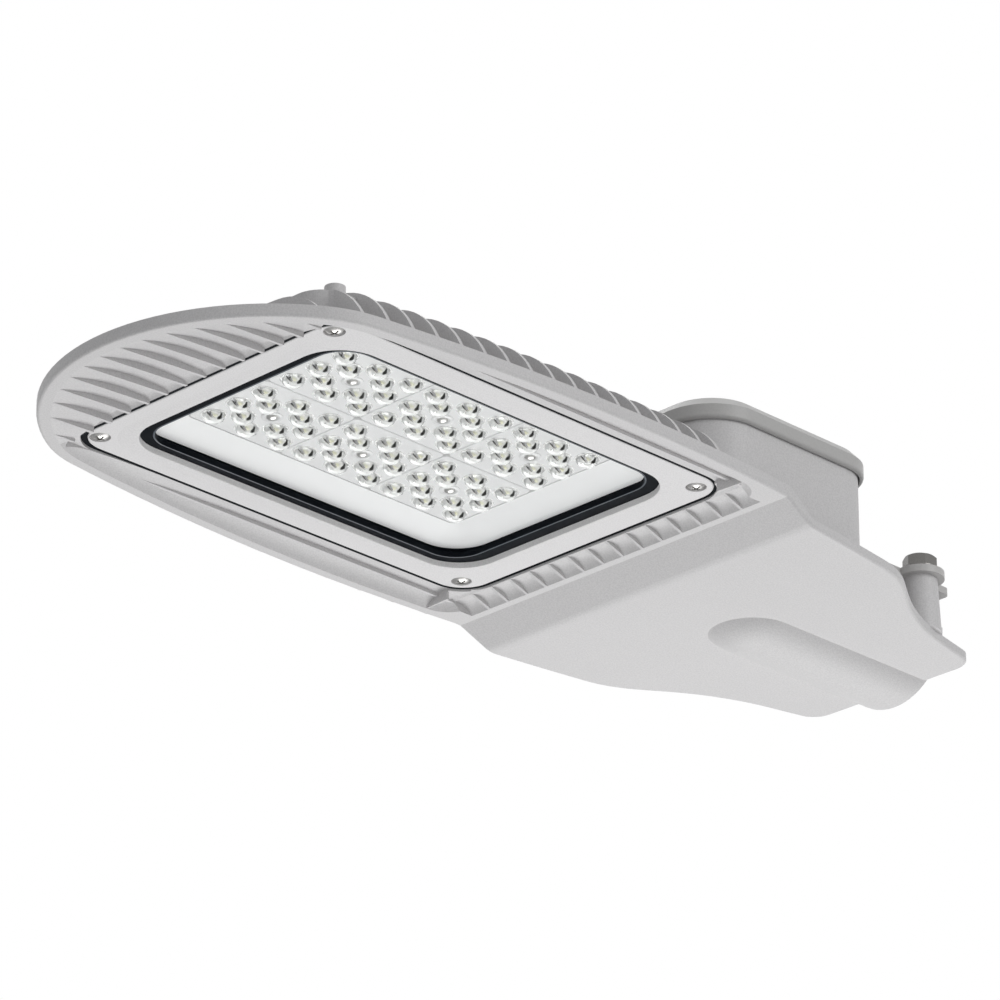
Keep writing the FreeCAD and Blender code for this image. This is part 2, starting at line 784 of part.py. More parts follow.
def cut_side_louvres(body):
    """A scoop round each shoulder and along each side, with one rib along it."""
    nose_angle = math.degrees(math.atan2(NOSE_WAY.y, NOSE_WAY.x))
    side_angle = math.degrees(math.atan2(SIDE_WAY.y, SIDE_WAY.x))
    end_x = window_x + v.side_scoop_end
    end_angle = math.degrees(math.acos((end_x - SIDE_CENTRE.x) / v.side_radius))
    end_radius = side_half(end_x, v.rim_band) - pocket_half_y
    run = v.side_scoop_run
    deep = v.half_width - v.rim_band - v.bezel_half_y
    sweeps = [
        ("shoulder_scoop", SHOULDER_CENTRE, v.shoulder_radius, deep, nose_angle, side_angle),
        ("side_scoop", SIDE_CENTRE, v.side_radius, deep, side_angle, end_angle),
        ("scoop_end", at(end_x, pocket_half_y), end_radius + v.rim_band, end_radius, 90, 0),
    ]
    for name, centre, radius, depth_in, first, last in sweeps:
        profile = scoop_profile(radius, run, depth_in)
        for place_name, side in (("far", 1), ("near", -1)):
            place = radial(at(centre.x, side * centre.y), side * (first + last) / 2)
            title = "%s_%s" % (name, place_name)
            sketch = new_sketch(body, "XY_Plane", title + "_profile", profile, place)
            turned(body, "Groove", title, sketch, "V_Axis", first - last)

    half = v.rib_wall / 2
    start_x = SHOULDER_CENTRE.x
    ribs = []
    for side in (1, -1):
        y = side * v.side_rib_half
        ribs += rounded([
            (start_x, y - half, 0),
            (end_x + end_radius - v.rib_wall, y - half, 0),
            (end_x + end_radius - v.rib_wall, y + half, 0),
            (start_x, y + half, 0),
        ])
    sketch = new_sketch(body, "XY_Plane", "side_rib_outlines", ribs, "Sizes.side_rib_z")
    pad(body, "side_ribs", sketch, "Sizes.scoop_z - Sizes.side_rib_z + 0.5")


def cut_tail_louvres(body):
    """A sloping band behind the bezel, scooped out between straight ribs."""
    edge_x = window_x + v.bezel_half_x
    end_x = window_x + v.tail_rib_end_from_window
    edge_z = v.tail_rib_z
    start_x = pocket_tail_x
    slope = (v.rim_face_z - edge_z) / (end_x - start_x)
    wedge = rounded([
        (edge_x, v.rim_face_z - 1, 0),
        (end_x - 1 / slope, v.rim_face_z - 1, 0),
        (end_x, v.rim_face_z, 0),
        (edge_x, edge_z - slope * (start_x - edge_x), 0),
    ])
    sketch = new_sketch(body, "XZ_Plane", "tail_slope_profile", wedge)
    across = (v.tail_ribs + 1) * v.rib_pitch - v.rib_wall
    pocket(body, "tail_slope", sketch, "(Sizes.tail_ribs + 1) * Sizes.rib_pitch - Sizes.rib_wall",
           middle=True)

    chord = at(end_x - start_x, v.rim_face_z - edge_z)
    normal = at(-chord.y, chord.x).normalize()
    deepest = at((start_x + end_x) / 2, (edge_z + v.rim_face_z) / 2) + normal * v.tail_scoop_depth
    arc = Part.Arc(at(start_x, edge_z), deepest, at(end_x, v.rim_face_z))
    scoop = [arc, Part.LineSegment(at(end_x, v.rim_face_z), at(start_x, edge_z))]
    first_y = -across / 2
    place = Placement(Vector(0, 0, -first_y - (v.rib_pitch - v.rib_wall)), Rotation())
    sketch = new_sketch(body, "XZ_Plane", "tail_scoop_profile", scoop, place)
    scoops = pocket(body, "tail_scoop", sketch, "Sizes.rib_pitch - Sizes.rib_wall", reverse=True)
    before = volume_of(body)
    pattern = body.newObject("PartDesign::LinearPattern", "tail_scoops")
    pattern.Originals = [scoops]
    pattern.Direction = (plane_of(body, "XZ_Plane"), [""])
    pattern.Reversed = True
    pattern.setExpression("Length", "Sizes.rib_pitch * Sizes.tail_ribs")
    pattern.setExpression("Occurrences", "Sizes.tail_ribs + 1")
    pattern.Refine = False
    body.Tip = pattern
    checked(body, pattern, before, False)


def cut_corner_bays(body):
    """The channel runs on round the bezel's corners."""
    outline = pocket_outline(v.edge_round)
    sketch = new_sketch(body, "XY_Plane", "corner_bay_outline", outline, "Sizes.rim_face_z")
    pocket(body, "corner_bays", sketch, "Sizes.tail_rib_z - Sizes.rim_face_z", reverse=True)


def box_inside(nose_x, nose_radius):
    wall = v.box_wall
    tail_x = box_tail_x - wall
    half_x = (tail_x - nose_x) / 2
    return rectangle(nose_x + half_x, half_x, v.box_half - wall, nose_radius, v.box_tail_radius - wall)


def cut_driver_box(body):
    """The box's hollow with lid bosses, its deeper tail end and the cable ways."""
    nose_x = box_nose_x + v.box_wall
    sketch = new_sketch(body, "XY_Plane", "box_hollow_outline",
                        box_inside(nose_x, v.box_nose_radius - v.box_wall), "Sizes.box_top_z")
    pocket(body, "box_hollow", sketch, "Sizes.box_top_z - Sizes.box_floor_z")
    sketch = new_sketch(body, "XY_Plane", "box_well_outline",
                        box_inside(-v.well_from_mouth, v.edge_round), "Sizes.box_top_z")
    pocket(body, "box_well", sketch, "Sizes.box_top_z - Sizes.plate_face_z - Sizes.plate_wall")

    floors = (("nose", "Sizes.box_floor_z"), ("tail", "Sizes.plate_face_z + Sizes.plate_wall"))
    for end, floor in floors:
        places = [(x, y) for x, y in lid_screw_places() if (x < box_middle_x) == (end == "nose")]
        sketch = new_sketch(body, "XY_Plane", end + "_boss_circles",
                            [circle(x, y, v.lid_boss_radius) for x, y in places], floor + " - 1")
        bind_radii(sketch, "lid_boss_radius")
        pad(body, end + "_bosses", sketch, "Sizes.box_top_z + 1 - (" + floor + ")")


def cut_holes(body):
    """The pole bore, the cable ways and every screw hole."""
    sketch = new_sketch(body, "YZ_Plane", "pole_circle", [circle(0, 0, v.pole_radius)])
    bind_radii(sketch, "pole_radius")
    pocket(body, "pole_bore", sketch, "Sizes.pole_depth")
    sketch = new_sketch(body, "YZ_Plane", "gland_space_circle", [circle(0, 0, v.pole_radius - v.pole_stop)],
                        "-Sizes.pole_depth")
    pocket(body, "gland_space", sketch, "Sizes.box_tail_from_mouth - Sizes.pole_depth")

    fit = v.hole_clearance
    sketch = new_sketch(body, "YZ_Plane", "gland_circle",
                        [circle(0, 0, v.gland_thread_radius + fit)], "-Sizes.box_tail_from_mouth")
    pocket(body, "gland_hole", sketch, "Sizes.box_wall + 1")

    sketch = new_sketch(body, "YZ_Plane", "wire_circle",
                        [circle(v.wire_hole_half, wire_hole_z(), v.wire_hole_radius)],
                        "-Sizes.box_nose_from_mouth + Sizes.box_wall + 1")
    bind_radii(sketch, "wire_hole_radius")
    pocket(body, "wire_hole", sketch, "%f" % (box_nose_x + v.box_wall + 1 - chamber_tail_x() + 1))

    sketch = new_sketch(body, "XY_Plane", "bezel_screw_circles",
                        [circle(x, y, v.bezel_screw_radius + fit) for x, y in bezel_screw_places()],
                        "Sizes.rim_face_z")
    pocket(body, "bezel_screw_holes", sketch, TO_SCREW_TIP + " - Sizes.rim_face_z", reverse=True)

    sketch = new_sketch(body, "XY_Plane", "lid_screw_circles",
                        [circle(x, y, v.lid_screw_radius + fit) for x, y in lid_screw_places()],
                        "Sizes.box_top_z")
    pocket(body, "lid_screw_holes", sketch, "Sizes.lid_screw_length")

    sketch = new_sketch(body, "XY_Plane", "bolt_circles",
                        [circle(x, y, v.bolt_radius + fit) for x, y in clamp_bolt_places()],
                        "Sizes.boss_top_z")
    pocket(body, "bolt_holes", sketch, "Sizes.bolt_length - 1")

    small = [circle(x, y, v.module_screw_radius + fit) for x, y in module_places()]
    sketch = new_sketch(body, "XY_Plane", "module_screw_circles", small, "Sizes.rim_face_z")
    to_roof = "Sizes.lens_face_z + Sizes.lens_plate + Sizes.board_wall + Sizes.roof_wall * 0.8"
    pocket(body, "module_screw_holes", sketch, to_roof + " - Sizes.rim_face_z", reverse=True)

    feet = [circle(x, y, v.driver_screw_radius + fit) for x, y in driver_screw_places()]
    sketch = new_sketch(body, "XY_Plane", "driver_screw_circles", feet, "Sizes.box_floor_z")
    pocket(body, "driver_screw_holes", sketch, "Sizes.driver_screw_reach + 0.5")

    x, y = ground_place()
    sketch = new_sketch(body, "XY_Plane", "ground_screw_circle", [circle(x, y, v.ground_screw_radius + fit)],
                        "Sizes.plate_face_z + Sizes.plate_wall")
    pocket(body, "ground_screw_hole", sketch, "Sizes.ground_reach + 0.4")


def chamber_tail_x():
    return window_x + v.window_half_x - v.chamber_margin


def wire_hole_z():
    return (recess_roof_z + chamber_roof_z) / 2


def bezel_screw_places():
    return [(window_x + x, y) for x in (-v.post_nose_from_window, v.post_tail_from_window)
            for y in (-v.post_half, v.post_half)]


def clamp_bolt_places():
    return [(-v.boss_from_mouth, side * v.boss_half) for side in (-1, 1)]


def lid_screw_places():
    half_x = (box_tail_x - box_nose_x) / 2 - v.lid_boss_inset
    half_y = v.box_half - v.lid_boss_inset
    return [(box_middle_x + i * half_x, j * half_y) for i in (-1, 1) for j in (-1, 1)]


def module_places():
    middle_x = (v.module_columns - 1) / 2
    middle_y = (v.module_rows - 1) / 2
    return [(window_x + (i - middle_x) * v.module_pitch_x, (j - middle_y) * v.module_pitch_y)
            for j in range(int(v.module_rows)) for i in range(int(v.module_columns))]


def make_housing():
    body = new_body("housing")
    add_shell(body)
    add_raised_parts(body)
    cut_window(body)
    cut_nose_louvres(body)
    cut_side_louvres(body)
    cut_tail_louvres(body)
    cut_corner_bays(body)
    cut_driver_box(body)
    cut_holes(body)
    add_fins(body)


# Light window: bezel, gasket, glass, tray, board and lenses

def make_lens_bezel():
    body = new_body("lens_bezel")
    outline = rectangle(window_x + v.bezel_shift, v.bezel_half_x, v.bezel_half_y, v.bezel_radius)
    sketch = new_sketch(body, "XY_Plane", "bezel_outline", outline, "Sizes.bezel_face_z")
    pad(body, "bezel_slab", sketch, "Sizes.bezel_wall")

    edges = []
    for index, edge in enumerate(body.Shape.Edges, start=1):
        box = edge.BoundBox
        if box.ZLength < 1e-6 and abs(box.ZMin - v.bezel_face_z) < 1e-6:
            edges.append("Edge%d" % index)
    base = body.Tip
    before = volume_of(body)
    feature = body.newObject("PartDesign::Fillet", "bezel_edge")
    feature.Base = (base, edges)
    feature.setExpression("Radius", "Sizes.bezel_edge_round")
    checked(body, feature, before, False)

    crease = v.crease_width
    low = rectangle(window_x, v.window_half_x + crease, v.window_half_y + crease, v.window_radius + crease)
    high = rectangle(window_x, v.window_half_x, v.window_half_y, v.window_radius)
    first = new_sketch(body, "XY_Plane", "crease_outline", low, "Sizes.bezel_face_z")
    second = new_sketch(body, "XY_Plane", "lip_outline", high, "Sizes.bezel_face_z + Sizes.crease_rise")
    loft(body, "SubtractiveLoft", "crease", first, second, False)
    sketch = new_sketch(body, "XY_Plane", "window_outline", high, "Sizes.bezel_face_z")
    pocket(body, "window", sketch, "Sizes.bezel_wall", reverse=True)

    places = bezel_screw_places()
    recesses = [circle(x, y, v.bezel_recess_radius) for x, y in places]
    sketch = new_sketch(body, "XY_Plane", "recess_circles", recesses, "Sizes.bezel_face_z")
    bind_radii(sketch, "bezel_recess_radius")
    pocket(body, "screw_recesses", sketch, "Sizes.bezel_recess_depth", reverse=True)
    holes = [circle(x, y, v.bezel_screw_radius + v.hole_clearance) for x, y in places]
    sketch = new_sketch(body, "XY_Plane", "screw_hole_circles", holes, "Sizes.bezel_face_z")
    pocket(body, "screw_holes", sketch, "Sizes.bezel_wall", reverse=True)


def window_ring(outer, inner_x, inner_y):
    """A ring round the window, given outwards and inwards from its edge."""
    ring = rectangle(window_x, v.window_half_x + outer, v.window_half_y + outer, v.window_radius + outer)
    radius = v.window_radius - max(inner_x, inner_y) / 2
    return ring + rectangle(window_x, v.window_half_x - inner_x, v.window_half_y - inner_y, radius)


def make_window_gasket():
    """A seal with a U section that holds the glass by its edge."""
    body = new_body("window_gasket")
    outer = v.glass_overlap + v.gasket_wall
    front = "Sizes.bezel_face_z + Sizes.bezel_wall"
    ring = window_ring(outer, v.gasket_reach_x, v.gasket_reach_y)
    sketch = new_sketch(body, "XY_Plane", "front_leg_ring", ring, front)
    pad(body, "front_leg", sketch, "Sizes.gasket_wall")
    ring = window_ring(outer, -v.glass_overlap, -v.glass_overlap)
    sketch = new_sketch(body, "XY_Plane", "side_ring", ring, front + " + Sizes.gasket_wall")
    pad(body, "side", sketch, "Sizes.glass_wall")
    ring = window_ring(outer, v.gasket_back_reach, v.gasket_back_reach)
    sketch = new_sketch(body, "XY_Plane", "back_leg_ring", ring,
                        front + " + Sizes.gasket_wall + Sizes.glass_wall")
    pad(body, "back_leg", sketch, "Sizes.gasket_wall")


def make_window_glass():
    body = new_body("window_glass")
    edge = v.glass_overlap - v.glass_clearance
    outline = rectangle(window_x, v.window_half_x + edge, v.window_half_y + edge, v.window_radius + edge)
    sketch = new_sketch(body, "XY_Plane", "glass_outline", outline,
                        "Sizes.bezel_face_z + Sizes.bezel_wall + Sizes.gasket_wall")
    pad(body, "glass", sketch, "Sizes.glass_wall")


def make_reflector_tray():
    """A sheet that slopes from the chamber's mouth up to the lens field."""
    body = new_body("reflector_tray")
    mouth_x = v.window_half_x - v.chamber_margin - v.seat_gap
    mouth_y = v.window_half_y - v.chamber_margin - v.seat_gap
    mouth_radius = v.window_radius - v.chamber_margin / 3 - v.seat_gap
    field_x = v.module_columns * v.module_pitch_x / 2 + v.tray_margin
    field_y = v.module_rows * v.module_pitch_y / 2 + v.tray_margin
    lower, upper = "Sizes.bezel_face_z + Sizes.bezel_wall + Sizes.glass_wall + 2 * Sizes.gasket_wall", \
        "Sizes.lens_face_z + Sizes.lens_plate"
    wide = v.tray_slant
    first = new_sketch(body, "XY_Plane", "back_mouth",
                       rectangle(window_x, mouth_x, mouth_y, mouth_radius), lower)
    second = new_sketch(body, "XY_Plane", "back_field",
                        rectangle(window_x, field_x + wide, field_y + wide, v.tray_radius + wide), upper)
    loft(body, "AdditiveLoft", "back", first, second, True)
    first = new_sketch(body, "XY_Plane", "front_mouth",
                       rectangle(window_x, mouth_x - wide, mouth_y - wide, mouth_radius - wide), lower)
    second = new_sketch(body, "XY_Plane", "front_field",
                        rectangle(window_x, field_x, field_y, v.tray_radius), upper)
    loft(body, "SubtractiveLoft", "front", first, second, False)


def make_led_board():
    body = new_body("led_board")
    half_x = v.module_columns * v.module_pitch_x / 2 + v.board_margin
    half_y = v.module_rows * v.module_pitch_y / 2 + v.board_margin
    sketch = new_sketch(body, "XY_Plane", "board_outline", rectangle(window_x, half_x, half_y, v.tray_radius),
                        "Sizes.lens_face_z + Sizes.lens_plate")
    pad(body, "board", sketch, "Sizes.board_wall")
    holes = [circle(x, y, v.module_screw_radius + v.hole_clearance) for x, y in module_places()]
    sketch = new_sketch(body, "XY_Plane", "board_holes", holes, "Sizes.lens_face_z + Sizes.lens_plate")
    pocket(body, "screw_holes", sketch, "Sizes.board_wall", reverse=True)


def lens_offsets():
    """Twelve lenses about a module's centre: a ring of eight and four between."""
    ring = [(i * v.lens_pitch_x, j * v.lens_pitch_y) for i in (-1, 0, 1) for j in (-1, 0, 1)
            if (i, j) != (0, 0)]
    between = [(i * v.lens_pitch_x / 2, j * v.lens_pitch_y / 2) for i in (-1, 1) for j in (-1, 1)]
    return ring + between


def make_lens_module(number, place):
    body = new_body("lens_module_%d" % number)
    half_x = (v.module_pitch_x - v.module_gap) / 2
    half_y = (v.module_pitch_y - v.module_gap) / 2
    sketch = new_sketch(body, "XY_Plane", "module_outline", rectangle(0, half_x, half_y, v.module_radius))
    pad(body, "module_plate", sketch, "Sizes.lens_plate")
    lenses = [circle(x, y, v.lens_radius) for x, y in lens_offsets()]
    sketch = new_sketch(body, "XY_Plane", "lens_circles", lenses)
    bind_radii(sketch, "lens_radius")
    taper = math.degrees(math.atan((v.lens_radius - v.lens_crown) / v.lens_height))
    pad(body, "lenses", sketch, "Sizes.lens_height", reverse=True, taper=-taper)

    half = v.chip_side / 2 + v.chip_clearance
    nests = []
    for x, y in lens_offsets():
        nests += rounded([(x - half, y - half, 0), (x + half, y - half, 0),
                          (x + half, y + half, 0), (x - half, y + half, 0)])
    sketch = new_sketch(body, "XY_Plane", "chip_nest_outlines", nests, "Sizes.lens_plate")
    pocket(body, "chip_nests", sketch, "Sizes.chip_height + Sizes.chip_clearance")
    hole = [circle(0, 0, v.module_screw_radius + v.hole_clearance)]
    sketch = new_sketch(body, "XY_Plane", "screw_hole_circle", hole)
    pocket(body, "screw_hole", sketch, "Sizes.lens_plate", reverse=True)
    x, y = place
    body.Placement = Placement(Vector(x, y, v.lens_face_z), Rotation())


def copies(name, shape, places):
    """One node of separate, equal solids, each at a Placement."""
    item = doc.addObject("Part::Feature", name)
    item.Label = name
    solids = []
    for place in places:
        solid = shape.copy()
        solid.Placement = place.multiply(solid.Placement)
        solids.append(solid)
    item.Shape = Part.makeCompound(solids)
    SUB_PARTS.append(item)
    return item


def make_led_chips():
    side = v.chip_side
    chip = Part.makeBox(side, side, v.chip_height, Vector(-side / 2, -side / 2, -v.chip_height))
    places = [Placement(Vector(mx + x, my + y, board_face_z), Rotation())
              for mx, my in module_places() for x, y in lens_offsets()]
    copies("led_chips", chip, places)


# Screws, bolts and washers

def pattern_body(name):
    body = doc.addObject("PartDesign::Body", name)
    body.Label = name
    return body


def screw_pattern(name, shank, length, head, height, slot):
    """A pan-head screw, its head above z = 0, with a cross recess."""
    body = pattern_body(name)
    rim = height * 0.35
    rise = height - rim
    dome = (head ** 2 + rise ** 2) / (2 * rise)
    half = math.asin(head / dome) / 2
    middle = at(dome * math.sin(half), height - dome * (1 - math.cos(half)))
    profile = [
        Part.LineSegment(at(0, -length), at(shank, -length)),
        Part.LineSegment(at(shank, -length), at(shank, 0)),
        Part.LineSegment(at(shank, 0), at(head, 0)),
        Part.LineSegment(at(head, 0), at(head, rim)),
        Part.Arc(at(head, rim), middle, at(0, height)),
        Part.LineSegment(at(0, height), at(0, -length)),
    ]
    sketch = new_sketch(body, "XZ_Plane", name + "_profile", profile)
    turned(body, "Revolution", name + "_turned", sketch, "V_Axis", 360)
    if slot:
        long, wide = slot
        cross = rounded([(long, -wide, 0), (long, wide, 0), (wide, wide, 0), (wide, long, 0),
                         (-wide, long, 0), (-wide, wide, 0), (-long, wide, 0), (-long, -wide, 0),
                         (-wide, -wide, 0), (-wide, -long, 0), (wide, -long, 0), (wide, -wide, 0)])
        sketch = new_sketch(body, "XY_Plane", name + "_cross", cross, "%f" % height)
        pocket(body, name + "_recess", sketch, "%f" % (height * 0.6))
    return body.Shape


def hexagon(flats):
    corner = flats / math.sqrt(3)
    return rounded([(corner * math.cos(math.radians(60 * i)), corner * math.sin(math.radians(60 * i)), 0)
                    for i in range(6)])


def bolt_pattern():
    """A hexagon bolt whose head stands on z = 0, its top corners chamfered."""
    body = pattern_body("bolt_pattern")
    sketch = new_sketch(body, "XY_Plane", "bolt_head_outline", hexagon(v.bolt_head_flats))
    pad(body, "bolt_head", sketch, "Sizes.bolt_head_height")
    corner = v.bolt_head_flats / math.sqrt(3)
    bevel = corner - v.bolt_head_flats / 2
    top = v.bolt_head_height
    ring = rounded([(corner - bevel, top, 0), (corner + 1, top - (bevel + 1) * 0.6, 0), (corner + 1, top, 0)])
    sketch = new_sketch(body, "XZ_Plane", "bolt_head_bevel", ring)
    turned(body, "Groove", "bolt_bevel", sketch, "V_Axis", 360)
    sketch = new_sketch(body, "XY_Plane", "bolt_circle", [circle(0, 0, v.bolt_radius)])
    bind_radii(sketch, "bolt_radius")
    pad(body, "bolt_shank", sketch, "Sizes.bolt_length", reverse=True)
    return body.Shape


def washer_pattern():
    body = pattern_body("washer_pattern")
    ring = [circle(0, 0, v.washer_radius), circle(0, 0, v.bolt_radius + 2 * v.hole_clearance)]
    sketch = new_sketch(body, "XY_Plane", "washer_circles", ring)
    pad(body, "washer", sketch, "Sizes.washer_wall")
    return body.Shape


def facing_up(places, z):
    return [Placement(Vector(x, y, z), Rotation()) for x, y in places]


def facing_down(places, z):
    return [Placement(Vector(x, y, z), Rotation(Vector(1, 0, 0), 180)) for x, y in places]


def make_fasteners():
    cross = (v.bezel_head_radius * 0.6, v.bezel_head_radius * 0.12)
    bezel = screw_pattern("bezel_screw_pattern", v.bezel_screw_radius, v.bezel_screw_length,
                          v.bezel_head_radius, v.bezel_head_height, cross)
    copies("bezel_screws", bezel, facing_down(bezel_screw_places(), v.bezel_face_z + v.bezel_recess_depth))

    module = screw_pattern("module_screw_pattern", v.module_screw_radius, v.module_screw_length,
                           v.module_head_radius, v.module_head_height, None)
    copies("module_screws", module, facing_down(module_places(), v.lens_face_z))

    cross = (v.lid_head_radius * 0.6, v.lid_head_radius * 0.12)
    lid = screw_pattern("lid_screw_pattern", v.lid_screw_radius, v.lid_screw_length,
                        v.lid_head_radius, v.lid_head_height, cross)
    copies("lid_screws", lid, facing_up(lid_screw_places(), lid_top_z()))

    driver = screw_pattern("driver_screw_pattern", v.driver_screw_radius,
                           v.driver_foot_wall + v.driver_screw_reach,
                           v.driver_head_radius, v.driver_head_height, None)
    copies("driver_screws", driver, facing_up(driver_screw_places(), v.box_floor_z + v.driver_foot_wall))

    ground = screw_pattern("ground_screw_pattern", v.ground_screw_radius, v.ground_reach,
                           v.ground_head_radius, v.ground_head_radius * 0.6, None)
    copies("ground_screw", ground, facing_up([ground_place()], plate_top_z))

    flange_z = v.boss_top_z + v.clamp_wall
    copies("clamp_washers", washer_pattern(), facing_up(clamp_bolt_places(), flange_z))
    copies("clamp_bolts", bolt_pattern(), facing_up(clamp_bolt_places(), flange_z + v.washer_wall))


# Driver box: lid, gasket and what the box holds

def lid_top_z():
    return v.lid_skirt_bottom_z + v.lid_skirt + v.lid_bevel_rise


def box_rectangle(grow):
    half_x = (box_tail_x - box_nose_x) / 2 + grow
    return rectangle(box_middle_x, half_x, v.box_half + grow, v.box_nose_radius + grow,
                     v.box_tail_radius + grow)


def make_driver_box_lid():
    """A lid whose skirt hangs over the walls, bevelled up to a flat top."""
    body = new_body("driver_box_lid")
    skirt = box_rectangle(v.lid_overhang)
    sketch = new_sketch(body, "XY_Plane", "skirt_outline", skirt, "Sizes.lid_skirt_bottom_z")
    pad(body, "skirt", sketch, "Sizes.lid_skirt")
    edges = []
    for index, edge in enumerate(body.Shape.Edges, start=1):
        box = edge.BoundBox
        if box.ZLength < 1e-6 and abs(box.ZMin - v.lid_skirt_bottom_z) < 1e-6:
            edges.append("Edge%d" % index)
    base = body.Tip
    before = volume_of(body)
    feature = body.newObject("PartDesign::Fillet", "skirt_edge")
    feature.Base = (base, edges)
    feature.setExpression("Radius", "Sizes.lid_edge_round")
    checked(body, feature, before, False)

    low = new_sketch(body, "XY_Plane", "bevel_foot", skirt, "Sizes.lid_skirt_bottom_z + Sizes.lid_skirt")
    high = new_sketch(body, "XY_Plane", "bevel_top", box_rectangle(v.lid_overhang - v.lid_bevel_run),
                      "Sizes.lid_skirt_bottom_z + Sizes.lid_skirt + Sizes.lid_bevel_rise")
    loft(body, "AdditiveLoft", "bevel", low, high, True)

    inside = box_rectangle(v.lid_skirt_gap)
    sketch = new_sketch(body, "XY_Plane", "skirt_inside", inside, "Sizes.lid_skirt_bottom_z")
    pocket(body, "lid_hollow", sketch, "Sizes.box_top_z + Sizes.lid_gasket_wall - Sizes.lid_skirt_bottom_z",
           reverse=True)
    under = box_rectangle(-v.box_wall - v.lid_gasket_land)
    sketch = new_sketch(body, "XY_Plane", "roof_inside", under, "Sizes.box_top_z")
    top = "Sizes.lid_skirt_bottom_z + Sizes.lid_skirt + Sizes.lid_bevel_rise - Sizes.lid_wall"
    pocket(body, "roof_hollow", sketch, top + " - Sizes.box_top_z", reverse=True)
    holes = [circle(x, y, v.lid_screw_radius + v.hole_clearance) for x, y in lid_screw_places()]
    sketch = new_sketch(body, "XY_Plane", "lid_hole_circles", holes, "Sizes.box_top_z")
    pocket(body, "lid_holes", sketch, top + " + Sizes.lid_wall - Sizes.box_top_z + 1", reverse=True)


def make_lid_gasket():
    body = new_body("lid_gasket")
    ring = box_rectangle(0) + box_rectangle(-v.box_wall)
    sketch = new_sketch(body, "XY_Plane", "lid_gasket_ring", ring, "Sizes.box_top_z")
    pad(body, "lid_seal", sketch, "Sizes.lid_gasket_wall")


def driver_middle_x():
    return box_nose_x + v.box_wall + v.driver_gap + v.driver_width / 2


def driver_screw_places():
    y = v.driver_length / 2 + v.driver_foot / 2
    return [(driver_middle_x(), -y), (driver_middle_x(), y)]


def make_led_driver():
    """A closed case on a foot plate that reaches out at both ends."""
    body = new_body("led_driver")
    foot = rectangle(driver_middle_x(), v.driver_foot * 0.55, v.driver_length / 2 + v.driver_foot, 2)
    sketch = new_sketch(body, "XY_Plane", "driver_foot_outline", foot, "Sizes.box_floor_z")
    pad(body, "driver_foot_plate", sketch, "Sizes.driver_foot_wall")
    case = rectangle(driver_middle_x(), v.driver_width / 2, v.driver_length / 2, 2)
    sketch = new_sketch(body, "XY_Plane", "driver_case_outline", case, "Sizes.box_floor_z")
    pad(body, "driver_case", sketch, "Sizes.driver_height")
    holes = [circle(x, y, v.driver_screw_radius + v.hole_clearance) for x, y in driver_screw_places()]
    sketch = new_sketch(body, "XY_Plane", "driver_foot_holes", holes, "Sizes.box_floor_z")
    pocket(body, "driver_holes", sketch, "Sizes.driver_foot_wall", reverse=True)


def well_middle_x():
    return (-v.well_from_mouth + box_tail_x - v.box_wall) / 2


def ground_place():
    return (well_middle_x(), v.ground_half)


def make_terminal_block():
    """A three-way block with a screw well and a wire mouth for each way."""
    body = new_body("terminal_block")
    half_x = v.terminal_width / 2
    half_y = v.terminal_length / 2
    centre_y = -v.terminal_half
    block = rounded([(well_middle_x() - half_x, centre_y - half_y, 1), (well_middle_x() + half_x, centre_y - half_y, 1),
                     (well_middle_x() + half_x, centre_y + half_y, 1), (well_middle_x() - half_x, centre_y + half_y, 1)])
    sketch = new_sketch(body, "XY_Plane", "terminal_outline", block, "Sizes.plate_face_z + Sizes.plate_wall")
    pad(body, "terminal_case", sketch, "Sizes.terminal_height")
    ways = [centre_y + i * v.terminal_length / 3.3 for i in (-1, 0, 1)]
    wells = [circle(well_middle_x(), y, v.terminal_well_radius) for y in ways]
    top = "Sizes.plate_face_z + Sizes.plate_wall + Sizes.terminal_height"
    sketch = new_sketch(body, "XY_Plane", "terminal_wells", wells, top)
    bind_radii(sketch, "terminal_well_radius")
    pocket(body, "terminal_screw_wells", sketch, "Sizes.terminal_height * 0.4")
    mouths = [circle(y, plate_top_z + v.terminal_height * 0.3, v.terminal_well_radius) for y in ways]
    sketch = new_sketch(body, "YZ_Plane", "terminal_mouths", mouths,
                        "(-Sizes.well_from_mouth - Sizes.box_tail_from_mouth - Sizes.box_wall) / 2"
                        " + Sizes.terminal_width / 2")
    bind_radii(sketch, "terminal_well_radius")
    pocket(body, "terminal_wire_mouths", sketch, "Sizes.terminal_width * 0.4")


# Cable entry

